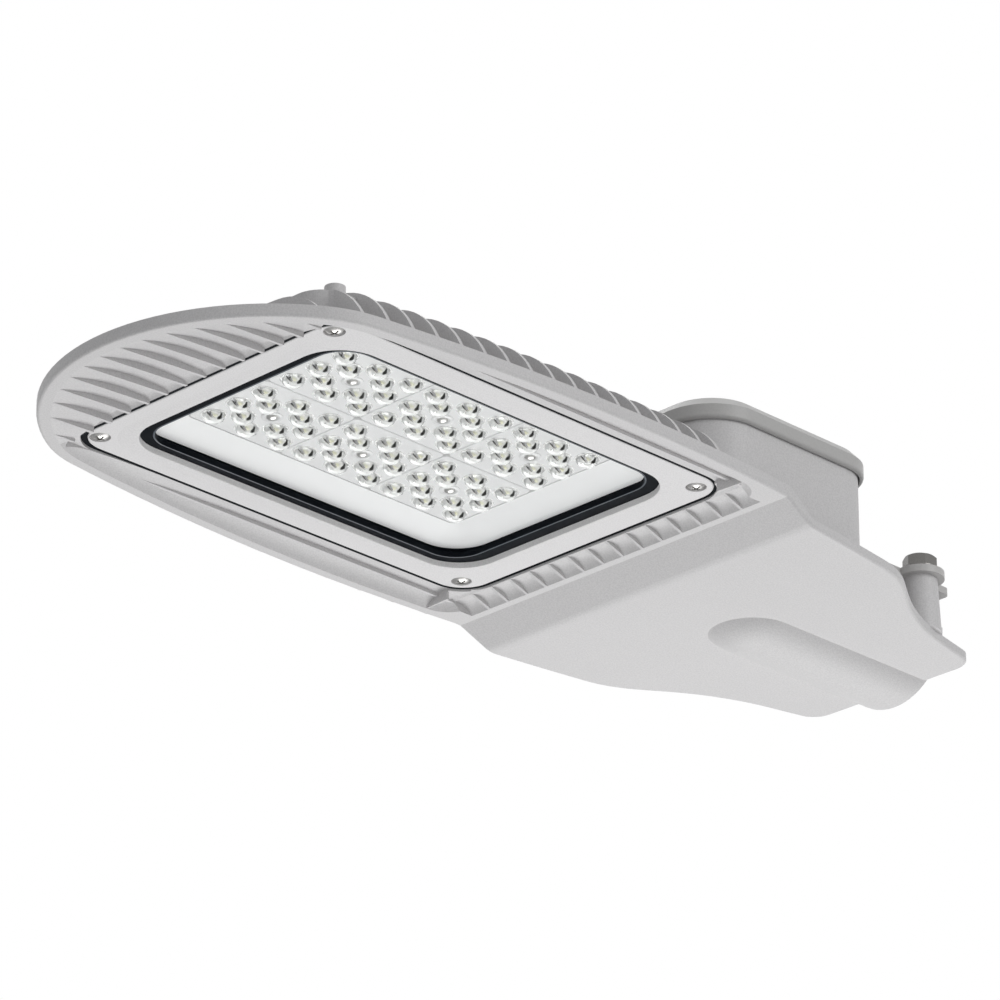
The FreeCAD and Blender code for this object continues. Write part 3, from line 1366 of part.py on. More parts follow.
def make_cable_gland():
    """A gland through the box's tail wall, its cap inside the pole's bore."""
    body = new_body("cable_gland")
    wall = "-Sizes.box_tail_from_mouth"
    sketch = new_sketch(body, "YZ_Plane", "gland_hexagon", hexagon(v.gland_hex_flats), wall)
    pad(body, "gland_hex", sketch, "Sizes.gland_hex_height")
    sketch = new_sketch(body, "YZ_Plane", "gland_thread_circle", [circle(0, 0, v.gland_thread_radius)], wall)
    bind_radii(sketch, "gland_thread_radius")
    pad(body, "gland_thread", sketch,
        "Sizes.box_wall + Sizes.gland_nut_height + Sizes.gland_thread_reach", reverse=True)
    sketch = new_sketch(body, "YZ_Plane", "gland_cap_circle", [circle(0, 0, v.gland_cap_radius)],
                        wall + " + Sizes.gland_hex_height")
    bind_radii(sketch, "gland_cap_radius")
    pad(body, "gland_cap", sketch, "Sizes.gland_cap_length", taper=-12)
    sketch = new_sketch(body, "YZ_Plane", "gland_bore_circle", [circle(0, 0, v.gland_bore_radius)],
                        wall + " + Sizes.gland_hex_height + Sizes.gland_cap_length")
    bind_radii(sketch, "gland_bore_radius")
    pocket(body, "gland_bore", sketch, "Sizes.gland_hex_height + Sizes.gland_cap_length + Sizes.box_wall"
           " + Sizes.gland_nut_height + Sizes.gland_thread_reach")


def make_gland_nut():
    body = new_body("gland_nut")
    ring = hexagon(v.gland_hex_flats) + [circle(0, 0, v.gland_thread_radius + v.hole_clearance)]
    sketch = new_sketch(body, "YZ_Plane", "gland_nut_ring", ring,
                        "-Sizes.box_tail_from_mouth - Sizes.box_wall - Sizes.gland_nut_height")
    pad(body, "nut", sketch, "Sizes.gland_nut_height")


def make_wire_grommet():
    """A bush in the hole that leads the wires to the LED chamber."""
    body = new_body("wire_grommet")
    z = wire_hole_z()
    wall = "-Sizes.box_nose_from_mouth + Sizes.box_wall"
    outer = v.wire_hole_radius - v.hole_clearance
    sleeve = [circle(v.wire_hole_half, z, outer), circle(v.wire_hole_half, z, outer - v.grommet_wall)]
    sketch = new_sketch(body, "YZ_Plane", "grommet_sleeve_ring", sleeve, wall)
    pad(body, "grommet_sleeve", sketch, "Sizes.grommet_sleeve", reverse=True)
    lip = [circle(v.wire_hole_half, z, outer + v.grommet_lip), circle(v.wire_hole_half, z, outer - v.grommet_wall)]
    sketch = new_sketch(body, "YZ_Plane", "grommet_lip_ring", lip, wall)
    pad(body, "grommet_flange", sketch, "Sizes.grommet_wall")


# Pole clamp

def make_pole_clamp():
    """A saddle that arches over the pole, with an ear round each bolt."""
    body = new_body("pole_clamp")
    inner = v.pole_radius
    outer = inner + v.clamp_wall
    low = v.boss_top_z
    high = low + v.clamp_wall
    inner_y = math.sqrt(inner ** 2 - low ** 2)
    outer_y = math.sqrt(outer ** 2 - high ** 2)
    edge = v.clamp_edge_half
    profile = [
        Part.LineSegment(at(-edge, low), at(-inner_y, low)),
        Part.Arc(at(-inner_y, low), at(0, inner), at(inner_y, low)),
        Part.LineSegment(at(inner_y, low), at(edge, low)),
        Part.LineSegment(at(edge, low), at(edge, high)),
        Part.LineSegment(at(edge, high), at(outer_y, high)),
        Part.Arc(at(outer_y, high), at(0, outer), at(-outer_y, high)),
        Part.LineSegment(at(-outer_y, high), at(-edge, high)),
        Part.LineSegment(at(-edge, high), at(-edge, low)),
    ]
    sketch = new_sketch(body, "YZ_Plane", "saddle_profile", profile, "-Sizes.boss_from_mouth")
    pad(body, "saddle", sketch, "Sizes.clamp_length", middle=True)
    ears = [circle(x, y, v.clamp_ear_radius) for x, y in clamp_bolt_places()]
    sketch = new_sketch(body, "XY_Plane", "ear_circles", ears, "Sizes.boss_top_z")
    bind_radii(sketch, "clamp_ear_radius")
    pad(body, "ears", sketch, "Sizes.clamp_wall")
    names = []
    for index, item in enumerate(body.Shape.Edges, start=1):
        box = item.BoundBox
        upright = box.XLength < 1e-6 and box.YLength < 1e-6
        from_middle = abs(box.XMin + v.boss_from_mouth)
        if upright and from_middle > v.clamp_length / 2 - 1 and abs(abs(box.YMin) - edge) < 1e-6:
            names.append("Edge%d" % index)
    base = body.Tip
    before = volume_of(body)
    feature = body.newObject("PartDesign::Fillet", "flange_corners")
    feature.Base = (base, names)
    feature.setExpression("Radius", "Sizes.clamp_round")
    checked(body, feature, before, False)
    holes = [circle(x, y, v.bolt_radius + 4 * v.hole_clearance) for x, y in clamp_bolt_places()]
    sketch = new_sketch(body, "XY_Plane", "clamp_holes", holes, "Sizes.boss_top_z")
    pocket(body, "bolt_holes", sketch, "Sizes.clamp_wall", reverse=True)


make_housing()
make_lens_bezel()
make_window_gasket()
make_window_glass()
make_reflector_tray()
make_led_board()
for module_number, module_place in enumerate(module_places(), start=1):
    make_lens_module(module_number, module_place)
make_led_chips()
make_driver_box_lid()
make_lid_gasket()
make_led_driver()
make_terminal_block()
make_cable_gland()
make_gland_nut()
make_wire_grommet()
make_pole_clamp()
make_fasteners()

# Every object is sound before anything is written

doc.recompute()
broken = [item.Label for item in doc.Objects if {"Invalid", "Error"} & set(item.State)]
broken += [item.Label for item in SUB_PARTS if item.Shape.isNull() or not item.Shape.isValid()]
if broken:
    raise ValueError("broken: " + ", ".join(broken))

os.makedirs("parts", exist_ok=True)
for item in SUB_PARTS:
    item.Shape.exportStep("parts/%s.step" % item.Label)
    print(item.Label, len(item.Shape.Solids), "solids", round(item.Shape.Volume), "mm3")
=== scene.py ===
import json
import math

import bmesh
import bpy
from mathutils import Matrix, Vector


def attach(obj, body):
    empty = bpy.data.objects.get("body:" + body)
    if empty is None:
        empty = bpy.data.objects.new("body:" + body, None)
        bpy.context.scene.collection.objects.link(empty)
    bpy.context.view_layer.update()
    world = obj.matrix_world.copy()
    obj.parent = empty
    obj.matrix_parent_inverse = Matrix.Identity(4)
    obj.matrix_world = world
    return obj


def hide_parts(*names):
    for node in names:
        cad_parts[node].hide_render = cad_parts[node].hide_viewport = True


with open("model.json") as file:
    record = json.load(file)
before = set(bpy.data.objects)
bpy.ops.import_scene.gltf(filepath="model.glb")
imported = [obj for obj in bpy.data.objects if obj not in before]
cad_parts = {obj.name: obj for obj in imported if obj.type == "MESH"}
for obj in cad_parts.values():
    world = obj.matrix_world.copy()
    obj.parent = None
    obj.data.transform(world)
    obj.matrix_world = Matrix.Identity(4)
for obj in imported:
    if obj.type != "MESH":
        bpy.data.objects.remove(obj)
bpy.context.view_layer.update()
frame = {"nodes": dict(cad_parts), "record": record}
NODES = frame["nodes"]
MM = 0.001

# Places of the lens window in the CAD frame, in metres
WINDOW_X = -0.299
LENS_FACE_Z = 0.0022
BEZEL_BACK_Z = -0.006
BEZEL_FACE_Z = -0.0094


# Materials

class Shader:
    """A node material, with short calls for the nodes that this scene uses."""

    def __init__(self, name):
        self.material = bpy.data.materials.new(name)
        self.material.use_nodes = True
        self.tree = self.material.node_tree
        self.tree.nodes.clear()
        self.output = self.tree.nodes.new("ShaderNodeOutputMaterial")
        self.place = self.node("ShaderNodeTexCoord").outputs["Object"]

    def node(self, kind, **settings):
        item = self.tree.nodes.new(kind)
        for key, setting in settings.items():
            setattr(item, key, setting)
        return item

    def link(self, source, target):
        self.tree.links.new(source, target)

    def surface(self, source):
        self.link(source, self.output.inputs["Surface"])
        return self.material

    def noise(self, scale, detail=2.0, roughness=0.5, stretch=None):
        item = self.node("ShaderNodeTexNoise")
        item.inputs["Scale"].default_value = scale
        item.inputs["Detail"].default_value = detail
        item.inputs["Roughness"].default_value = roughness
        source = self.place
        if stretch:
            mapping = self.node("ShaderNodeMapping")
            mapping.inputs["Scale"].default_value = stretch
            self.link(source, mapping.inputs["Vector"])
            source = mapping.outputs["Vector"]
        self.link(source, item.inputs["Vector"])
        return item.outputs["Fac"]

    def ramp(self, source, *stops):
        """A colour ramp; each stop is a position and a colour."""
        item = self.node("ShaderNodeValToRGB")
        elements = item.color_ramp.elements
        while len(elements) < len(stops):
            elements.new(0.5)
        for element, (position, colour) in zip(elements, stops):
            element.position = position
            element.color = (*colour, 1)
        self.link(source, item.inputs["Fac"])
        return item.outputs["Color"]

    def range(self, source, low, high):
        """Spreads a source that runs from 0 to 1 between two values."""
        item = self.node("ShaderNodeMapRange")
        item.inputs["To Min"].default_value = low
        item.inputs["To Max"].default_value = high
        self.link(source, item.inputs["Value"])
        return item.outputs["Result"]

    def bump(self, source, strength, distance):
        item = self.node("ShaderNodeBump")
        item.inputs["Strength"].default_value = strength
        item.inputs["Distance"].default_value = distance
        self.link(source, item.inputs["Height"])
        return item.outputs["Normal"]

    def mix(self, share, first, second):
        """Mixes two shaders and makes them the surface."""
        item = self.node("ShaderNodeMixShader")
        self.link(share, item.inputs["Fac"])
        self.link(first, item.inputs[1])
        self.link(second, item.inputs[2])
        return self.surface(item.outputs["Shader"])

    def principled(self, colour, rough, metallic=0.0, normal=None, **values):
        item = self.node("ShaderNodeBsdfPrincipled")
        if isinstance(colour, tuple):
            item.inputs["Base Color"].default_value = (*colour, 1)
        else:
            self.link(colour, item.inputs["Base Color"])
        if isinstance(rough, float):
            item.inputs["Roughness"].default_value = rough
        else:
            self.link(rough, item.inputs["Roughness"])
        item.inputs["Metallic"].default_value = metallic
        for key, value in values.items():
            item.inputs[key.replace("_", " ")].default_value = value
        if normal is not None:
            self.link(normal, item.inputs["Normal"])
        return item.outputs["BSDF"]


def shade(colour, factor):
    return tuple(min(1.0, part * factor) for part in colour)


def grey(value):
    return (value, value, value)


def powder_coat(name, colour, grain=1500.0, rough=(0.42, 0.6), speckle=0.07):
    """Textured powder paint: fine grains that catch the light, faint cloudiness."""
    s = Shader(name)
    grains = s.noise(grain, 2.0, 0.6)
    clouds = s.noise(9.0, 3.0)
    mixed = s.node("ShaderNodeMix", data_type="RGBA", blend_type="MULTIPLY")
    mixed.inputs["Factor"].default_value = 1.0
    fine = s.ramp(grains, (0.36, shade(colour, 1 - speckle)), (0.5, colour),
                  (0.66, shade(colour, 1 + speckle)))
    s.link(fine, mixed.inputs["A"])
    s.link(s.ramp(clouds, (0.3, grey(0.965)), (0.7, grey(1.0))), mixed.inputs["B"])
    normal = s.bump(grains, 0.35, 0.00006)
    return s.surface(s.principled(mixed.outputs["Result"], s.range(grains, *rough), normal=normal))


def satin_metal(name, colour, rough=(0.22, 0.38), scratch=0.15):
    """Bare metal with fine streaks across and faint clouds."""
    s = Shader(name)
    streaks = s.noise(600.0, 3.0, 0.6, stretch=(1.0, 6.0, 1.0))
    tone = s.ramp(s.noise(120.0, 2.0), (0.3, shade(colour, 0.88)), (0.7, colour))
    normal = s.bump(streaks, scratch, 0.00003)
    return s.surface(s.principled(tone, s.range(streaks, *rough), 1.0, normal))


def matt_plastic(name, colour, rough=(0.38, 0.52), grain=900.0, spread=0.1, gloss=0.5):
    """Moulded plastic, rubber or satin paint; spread is how much its tone varies."""
    s = Shader(name)
    grains = s.noise(grain, 2.0)
    tone = s.ramp(s.noise(60.0, 2.0), (0.3, shade(colour, 1 - spread)),
                  (0.7, shade(colour, 1 + spread)))
    normal = s.bump(grains, 0.25, 0.00003)
    return s.surface(s.principled(tone, s.range(grains, *rough), normal=normal,
                                  Specular_IOR_Level=gloss))


def clear_glass(name):
    """Flat toughened glass: clear, with a faint green tint and mirror reflections."""
    s = Shader(name)
    tint = s.ramp(s.noise(20.0), (0.3, (0.985, 0.988, 0.986)), (0.7, (0.99, 0.992, 0.991)))
    through = s.node("ShaderNodeBsdfTransparent")
    s.link(tint, through.inputs["Color"])
    shine = s.node("ShaderNodeBsdfGlossy")
    shine.inputs["Roughness"].default_value = 0.02
    fresnel = s.node("ShaderNodeLayerWeight")
    fresnel.inputs["Blend"].default_value = 0.12
    front = s.node("ShaderNodeMath", operation="SUBTRACT")
    front.inputs[0].default_value = 1.0
    s.link(s.node("ShaderNodeNewGeometry").outputs["Backfacing"], front.inputs[1])
    share = s.node("ShaderNodeMath", operation="MULTIPLY")
    s.link(fresnel.outputs["Fresnel"], share.inputs[0])
    s.link(front.outputs["Value"], share.inputs[1])
    return s.mix(share.outputs["Value"], through.outputs["BSDF"], shine.outputs["BSDF"])


def clear_lens(name):
    """Moulded clear plastic that lets shadow rays through to the board."""
    s = Shader(name)
    tone = s.ramp(s.noise(150.0), (0.3, (0.96, 0.965, 0.96)), (0.7, (0.99, 0.99, 0.985)))
    ripple = s.noise(260.0, 1.0)
    normal = s.bump(ripple, 0.12, 0.00012)
    body = s.principled(tone, s.range(ripple, 0.03, 0.07), normal=normal,
                        IOR=1.25, Transmission_Weight=0.7)
    through = s.node("ShaderNodeBsdfTransparent")
    s.link(tone, through.inputs["Color"])
    path = s.node("ShaderNodeLightPath")
    return s.mix(path.outputs["Is Shadow Ray"], body, through.outputs["BSDF"])


def frosted_plate(name):
    """The lens modules' plate: milky clear plastic over the white board."""
    s = Shader(name)
    tone = s.ramp(s.noise(90.0, 3.0), (0.3, grey(0.94)), (0.7, grey(0.98)))
    ripple = s.noise(400.0, 2.0)
    normal = s.bump(ripple, 0.2, 0.00004)
    return s.surface(s.principled(tone, s.range(ripple, 0.16, 0.3), normal=normal))


BRIGHT_ROUGH = (0.3, 0.45)
CAST_ROUGH = (0.34, 0.46)
MATERIALS = {
    "powder_coat": powder_coat("powder_coat", (0.68, 0.67, 0.67)),
    "bezel_coat": powder_coat("bezel_coat", (0.8, 0.79, 0.79), grain=1700.0),
    "lid_coat": powder_coat("lid_coat", (0.5, 0.495, 0.485), 1100.0, CAST_ROUGH, 0.03),
    "clamp_coat": powder_coat("clamp_coat", (0.56, 0.55, 0.54), 1100.0, CAST_ROUGH, 0.03),
    "black_rubber": matt_plastic("black_rubber", (0.006, 0.008, 0.011), (0.5, 0.62),
                                 spread=0.15, gloss=0.04),
    "clear_glass": clear_glass("clear_glass"),
    "white_tray": matt_plastic("white_tray", grey(0.97), BRIGHT_ROUGH, spread=0.01),
    "white_board": matt_plastic("white_board", (0.82, 0.82, 0.81), BRIGHT_ROUGH, spread=0.02),
    "yellow_phosphor": matt_plastic("yellow_phosphor", (0.9, 0.87, 0.5), (0.5, 0.6), spread=0.04),
    "clear_lens": clear_lens("clear_lens"),
    "steel_screws": satin_metal("steel_screws", (0.72, 0.71, 0.69)),
    "zinc_steel": satin_metal("zinc_steel", (0.17, 0.165, 0.16), (0.2, 0.34)),
    "driver_case": powder_coat("driver_case", (0.7, 0.7, 0.69), grain=700.0, speckle=0.02),
    "grey_plastic": matt_plastic("grey_plastic", (0.3, 0.3, 0.31)),
    "black_plastic": matt_plastic("black_plastic", (0.022, 0.022, 0.024)),
    "brass_screw": satin_metal("brass_screw", (0.72, 0.55, 0.26)),
}
PLATE = frosted_plate("lens_plate")
# Painted highlight: a lighter, glossier bluish rubber for the seal's small ridge, standing in for
# the thin line of light along it
RIDGE_HIGHLIGHT = matt_plastic("rubber_ridge_highlight", (0.07, 0.085, 0.105), (0.3, 0.4))
# Painted shade: near-black patches on the clear domes that stand in for the dark reflections of
# the housing seen in the lenses
LENS_PAINTED_SHADE = matt_plastic("lens_painted_shade", (0.04, 0.04, 0.037), (0.5, 0.6), grain=2400.0,
                        spread=0.35, gloss=0.05)
# Painted highlights: mirror-bright metal patches on the clear domes that stand in for the glints
# of light in the lenses
LENS_GLINT = satin_metal("lens_glint", grey(0.97), (0.12, 0.2), scratch=0.05)

for entry in frame["record"]["subparts"]:
    item = NODES[entry["node"]]
    item.data.materials.clear()
    item.data.materials.append(MATERIALS[entry["material_slot"]])


# Mesh pieces

def finish_piece(name, bm, material, replaced=(), sharp=35):
    """Turns a bmesh into a piece that rides on the body and takes the given materials."""
    mesh = bpy.data.meshes.new(name)
    bm.normal_update()
    bm.to_mesh(mesh)
    bm.free()
    piece = bpy.data.objects.new(name, mesh)
    bpy.context.scene.collection.objects.link(piece)
    materials = material if isinstance(material, list) else [material]
    for one in materials:
        mesh.materials.append(one)
    mesh.polygons.foreach_set("use_smooth", [True] * len(mesh.polygons))
    mesh.set_sharp_from_angle(angle=math.radians(sharp))
    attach(piece, "root")
    if replaced:
        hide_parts(*replaced)
    return piece


def corner_ring(half_x, half_y, radius, steps=10):
    """Points of a rounded rectangle, counter-clockwise, the same count for any size."""
    points = []
    for number, (i, j) in enumerate(((1, 1), (-1, 1), (-1, -1), (1, -1))):
        for step in range(steps + 1):
            angle = math.pi / 2 * (number + step / steps)
            points.append((i * (half_x - radius) + radius * math.cos(angle),
                           j * (half_y - radius) + radius * math.sin(angle)))
    return points


def grown_ring(base, out):
    """A rounded rectangle (half x, half y, radius), offset outwards on all sides."""
    return corner_ring(*(size + out for size in base))


def round_ring(radius, count):
    angles = [2 * math.pi * k / count for k in range(count)]
    return [(radius * math.cos(angle), radius * math.sin(angle)) for angle in angles]


def swept_ring(bm, rings, centre, closed=True, special=()):
    """Joins rings of equal count, each (points, z) in millimetres from a centre in metres.

    The bands that special counts out take the piece's second material.
    """
    layers = []
    for points, z in rings:
        layers.append([bm.verts.new((centre[0] + x * MM, centre[1] + y * MM, centre[2] + z * MM))
                       for x, y in points])
    pairs = list(zip(layers, layers[1:]))
    if closed:
        pairs.append((layers[-1], layers[0]))
    for number, (low, high) in enumerate(pairs):
        count = len(low)
        for k in range(count):
            face = bm.faces.new((low[k], low[(k + 1) % count], high[(k + 1) % count], high[k]))
            face.material_index = int(number in special)
    return layers


def capped_sweep(bm, rings, centre):
    """Sweeps rings and closes both ends."""
    layers = swept_ring(bm, rings, centre, closed=False)
    bm.faces.new(list(reversed(layers[0])))
    bm.faces.new(layers[-1])


def add_box(bm, centre, half):
    """A plain box from its centre in metres and half sizes in millimetres."""
    sizes = [size * 2 * MM for size in half]
    place = Matrix.Translation(centre) @ Matrix.Diagonal((*sizes, 1))
    bmesh.ops.create_cube(bm, size=1, matrix=place)


# The window, in millimetres: each rounded rectangle is half x, half y, corner radius

CAD_OPENING = (95.6, 64.0, 14.0)
SEAL_OUTLINE = (95.4, 63.3, 18.8)
BEAD_OUTLINE = (95.5, 63.4, 19.0)
BEAD_FOOT = (102.5, 70.9, 20.9)
POCKET_OUTLINE = (111.8, 77.8, 15.2)
BEZEL_OUTLINE = (109.7, 76.7, 14.1)
BEZEL_SHIFT = 1.0
BEZEL_THICKNESS = 3.4

# The seal's face from its outer edge to the glass: inset x, inset y, z
SEAL_FACE = [(0.0, 0.0, 1.0), (0.0, 0.0, -1.2), (0.3, 0.3, -1.4), (6.1, 4.1, -1.45),
             (6.5, 4.4, -1.6), (6.9, 4.7, -1.45), (7.0, 4.8, -1.1), (7.1, 4.9, 0.98)]
# The seal's ridge is real geometry; its two bands take the lighter rubber as a painted highlight
SEAL_RIDGE_HIGHLIGHT_BANDS = (3, 4)

# The rim of the bezel's bead: distance out of its outline, z
BEAD_RIM = [(0.6, -0.42), (0.2, -0.36), (0.0, -0.15), (0.0, 3.35), (0.08, 3.35), (0.08, 0.06)]

# The tray's slope and its flat back: half x, half y, corner radius, z
TRAY_SLOPE = [(92.3, 61.8, 17.5, -1.97), (88.0, 57.0, 12.0, -1.75), (77.0, 48.2, 4.0, 1.9),
              (75.3, 46.9, 3.0, 2.2), (75.3, 46.9, 3.0, 3.15), (92.3, 61.8, 17.5, 3.15)]


def seal_ring(inset_x, inset_y):
    """The seal's outline, moved in by two distances and less round as it goes in."""
    half_x, half_y, radius = SEAL_OUTLINE
    return corner_ring(half_x - inset_x, half_y - inset_y, radius - (inset_x + inset_y) * 0.45)


def make_gasket():
    """The seal: a flat face inside the bezel's opening and a groove that holds the glass."""
    centre = (WINDOW_X, 0, BEZEL_BACK_Z)
    bm = bmesh.new()
    face = [(seal_ring(inset_x, inset_y), z) for inset_x, inset_y, z in SEAL_FACE]
    swept_ring(bm, face, centre, special=SEAL_RIDGE_HIGHLIGHT_BANDS)
    half_x, half_y, radius = CAD_OPENING
    groove = [(grown_ring(CAD_OPENING, 4.0), z) for z in (1.0, 5.0)]
    groove += [(corner_ring(half_x - 3.2, half_y - 2.1, radius + 3.6), z) for z in (5.0, 4.02)]
    groove += [(grown_ring(CAD_OPENING, 3.05), z) for z in (4.02, 1.0)]
    swept_ring(bm, groove, centre)
    seal = finish_piece("window_seal", bm, [MATERIALS["black_rubber"], RIDGE_HIGHLIGHT],
                        ["window_gasket"])
    seal.visible_shadow = False
    seal.visible_diffuse = False


def make_tray():
    """The white reflector tray: a broad shallow slope from the glass down to the lens plates."""
    bm = bmesh.new()
    rings = [(corner_ring(*outline), z) for *outline, z in TRAY_SLOPE]
    swept_ring(bm, rings, (WINDOW_X, 0, 0))
    finish_piece("tray_slope", bm, MATERIALS["white_tray"], ["reflector_tray"])


def make_bezel_gap_shade():
    """Painted shade: a dark rubber strip that shows in the gap between the bezel and the housing,
    standing in for the shadow in that deep gap.
    """
    pocket = corner_ring(*POCKET_OUTLINE)
    bezel = [(x + BEZEL_SHIFT, y) for x, y in corner_ring(*BEZEL_OUTLINE)]
    top, bottom = BEZEL_THICKNESS, 0.1
    bm = bmesh.new()
    swept_ring(bm, [(pocket, top), (pocket, bottom), (bezel, bottom), (bezel, top)],
               (WINDOW_X, 0, BEZEL_FACE_Z))
    bmesh.ops.recalc_face_normals(bm, faces=bm.faces)
    finish_piece("bezel_gap_shade", bm, MATERIALS["black_rubber"])


def make_bezel_bead():
    """The ramp on the bezel's face that climbs to the rim of its opening."""
    rings = [(corner_ring(*BEAD_FOOT), 0.06)]
    rings += [(grown_ring(BEAD_OUTLINE, out), z) for out, z in BEAD_RIM]
    bm = bmesh.new()
    swept_ring(bm, rings, (WINDOW_X, 0, BEZEL_FACE_Z))
    bmesh.ops.recalc_face_normals(bm, faces=bm.faces)
    finish_piece("bezel_bead", bm, MATERIALS["bezel_coat"], sharp=5)


# The lens modules, in millimetres: profiles are (radius, z), and lenses stand out to negative z

MODULE_PITCH = (50.0, 46.49)
MODULE_GAP = 0.2
LENS_STEP = (17.94, 14.91)
DOME_BASE = [(0.0, -1.9), (0.7, -1.85), (1.4, -1.65), (2.0, -1.25), (2.4, -0.7), (2.55, 0.0),
             (5.5, 0.0), (5.4, -0.22), (4.95, -0.26)]
DOME_SKIN = [(4.8, -0.35), (4.55, -1.2), (4.2, -1.9), (3.7, -2.5), (3.0, -3.0),
             (2.1, -3.28), (1.0, -3.38), (0.0, -3.4)]
DOME_LIFT = 0.02
VALLEY_DEPTH, VALLEY_WIDTH, VALLEY_REACH = 0.08, 0.8, 4.4
MARK_LIFT = 0.05
SCREW_COLLAR = [(4.6, 0.02), (4.5, -0.3), (3.9, -0.55), (3.2, -0.55), (2.8, -0.2), (2.4, 0.05)]
CHIP_HALF = (1.1, 1.1, 0.2)
AXIS_RADIUS = 0.02
DOME_SIDES, COLLAR_SIDES = 36, 28
# Material indices on the domes: the painted dark reflections, then the painted highlights
PAINTED_SHADE_MATERIAL, GLINT_MATERIAL = 1, 2


def dome_height(x, y):
    """How far the dome's skin stands out at a point, with the shallow valley along X."""
    radius = math.hypot(x, y)
    height = 0.0
    for (wide, low), (narrow, high) in zip(DOME_SKIN, DOME_SKIN[1:]):
        if narrow <= radius <= wide:
            height = -(low + (high - low) * (wide - radius) / (wide - narrow))
            break
    fade = max(0.0, 1 - (radius / VALLEY_REACH) ** 2)
    return height * (1 - VALLEY_DEPTH * math.exp(-(y / VALLEY_WIDTH) ** 2) * fade)


def is_skin(vert, centre):
    """Whether a dome's vertex lies on its outer skin, not in the hollow behind it."""
    radius = math.hypot(vert.co.x - centre[0], vert.co.y - centre[1]) / MM
    depth = (centre[2] - vert.co.z) / MM
    return any(abs(radius - wide) < 0.03 and abs(depth + low) < 0.01 for wide, low in DOME_SKIN)


def make_dome(bm, centre):
    """One lens: a solid of revolution whose skin is then pressed into its valley."""
    first = len(bm.verts)
    capped_sweep(bm, [(round_ring(max(radius, AXIS_RADIUS), DOME_SIDES), z)
                      for radius, z in DOME_BASE + DOME_SKIN], centre)
    bm.verts.ensure_lookup_table()
    for vert in bm.verts[first:]:
        if is_skin(vert, centre):
            across, along = vert.co.x - centre[0], vert.co.y - centre[1]
            vert.co.z = centre[2] - dome_height(across / MM, along / MM) * MM


def between(first, second, share):
    return [a + (b - a) * share for a, b in zip(first, second)]


def skin_patch(bm, centre, near, far, rows, material):
    """A facet on the dome's skin between two edges, each given by its two ends."""
    grid = []
    for i in range(rows + 1):
        line = []
        for j in range(rows + 1):
            x, y = between(between(*near, j / rows), between(*far, j / rows), i / rows)
            push = 1 + MARK_LIFT / max(math.hypot(x, y), 0.5)
            z = -dome_height(x, y) - MARK_LIFT * 0.6
            line.append(bm.verts.new((centre[0] + x * push * MM, centre[1] + y * push * MM,
                                      centre[2] + z * MM)))
        grid.append(line)
    for i in range(rows):
        for j in range(rows):
            face = bm.faces.new((grid[i][j], grid[i][j + 1], grid[i + 1][j + 1], grid[i + 1][j]))
            face.material_index = material


def skin_streak(bm, centre, points, halves, side, material):
    """A narrow strip along points on the dome's skin, as wide at each as its half width says."""
    edges = [((side * (x + half * 0.5), y + half), (side * (x - half * 0.5), y - half))
             for (x, y), half in zip(points, halves)]
    for near, far in zip(edges, edges[1:]):
        skin_patch(bm, centre, near, far, 1, material)


def lens_marks(bm, centre):
    """Near-black patches painted on the skin as dark reflections at the dome's ends and as fine
    shade lines beside the valley, with mirror-bright strips along them as painted highlights.
    """
    waist = ((-1.0, -3.5), (1.0, -3.6))
    skin_patch(bm, centre, ((-0.3, -4.66), (0.3, -4.62)), waist, 5, PAINTED_SHADE_MATERIAL)
    skin_patch(bm, centre, waist, ((-0.65, -2.6), (0.2, -2.9)), 3, PAINTED_SHADE_MATERIAL)
    skin_patch(bm, centre, ((-0.4, 4.78), (0.4, 4.78)), ((-0.7, 4.45), (0.7, 4.45)), 3,
               PAINTED_SHADE_MATERIAL)
    # Painted shade lines beside the valley, then the mirror strips and spots that paint highlights
    shade_streak = [(-4.62, -0.95), (-4.3, -1.32), (-3.82, -1.62), (-3.05, -1.93), (-2.3, -2.05)]
    strip = [(-4.55, -1.45), (-4.15, -1.9), (-3.6, -2.25), (-2.9, -2.5), (-2.3, -2.55)]
    glint = [(-3.1, -0.7), (-2.7, -0.3), (-2.3, 0.15)]
    for side in (-1, 1):
        skin_streak(bm, centre, shade_streak, [0.06, 0.17, 0.2, 0.13, 0.05], side, PAINTED_SHADE_MATERIAL)
        skin_streak(bm, centre, strip, [0.1, 0.3, 0.34, 0.26, 0.1], side, GLINT_MATERIAL)
        skin_streak(bm, centre, glint, [0.2, 0.5, 0.2], side, GLINT_MATERIAL)


def lens_places():
    """The twelve lenses of a module: a ring of eight and four inside, round its screw."""
    step_x, step_y = LENS_STEP
    ring = [(i, j) for i in (-1, 0, 1) for j in (-1, 0, 1) if (i, j) != (0, 0)]
    inside = [(i / 2, j / 2) for i in (-1, 1) for j in (-1, 1)]
    return [(i * step_x, j * step_y) for i, j in ring + inside]


def make_plate(name, centre):
    """A module's plate with the collar round its screw."""
    half_x, half_y = [pitch / 2 - MODULE_GAP for pitch in MODULE_PITCH]
    wide = corner_ring(half_x, half_y, 2.5, 5)
    narrow = corner_ring(half_x - 0.25, half_y - 0.25, 2.3, 5)
    bm = bmesh.new()
    capped_sweep(bm, [(wide, 1.0), (wide, 0.25), (narrow, 0.0)], centre)
    collar = [(round_ring(radius, COLLAR_SIDES), z) for radius, z in SCREW_COLLAR]
    swept_ring(bm, collar, centre, closed=False)
    finish_piece(name, bm, PLATE)


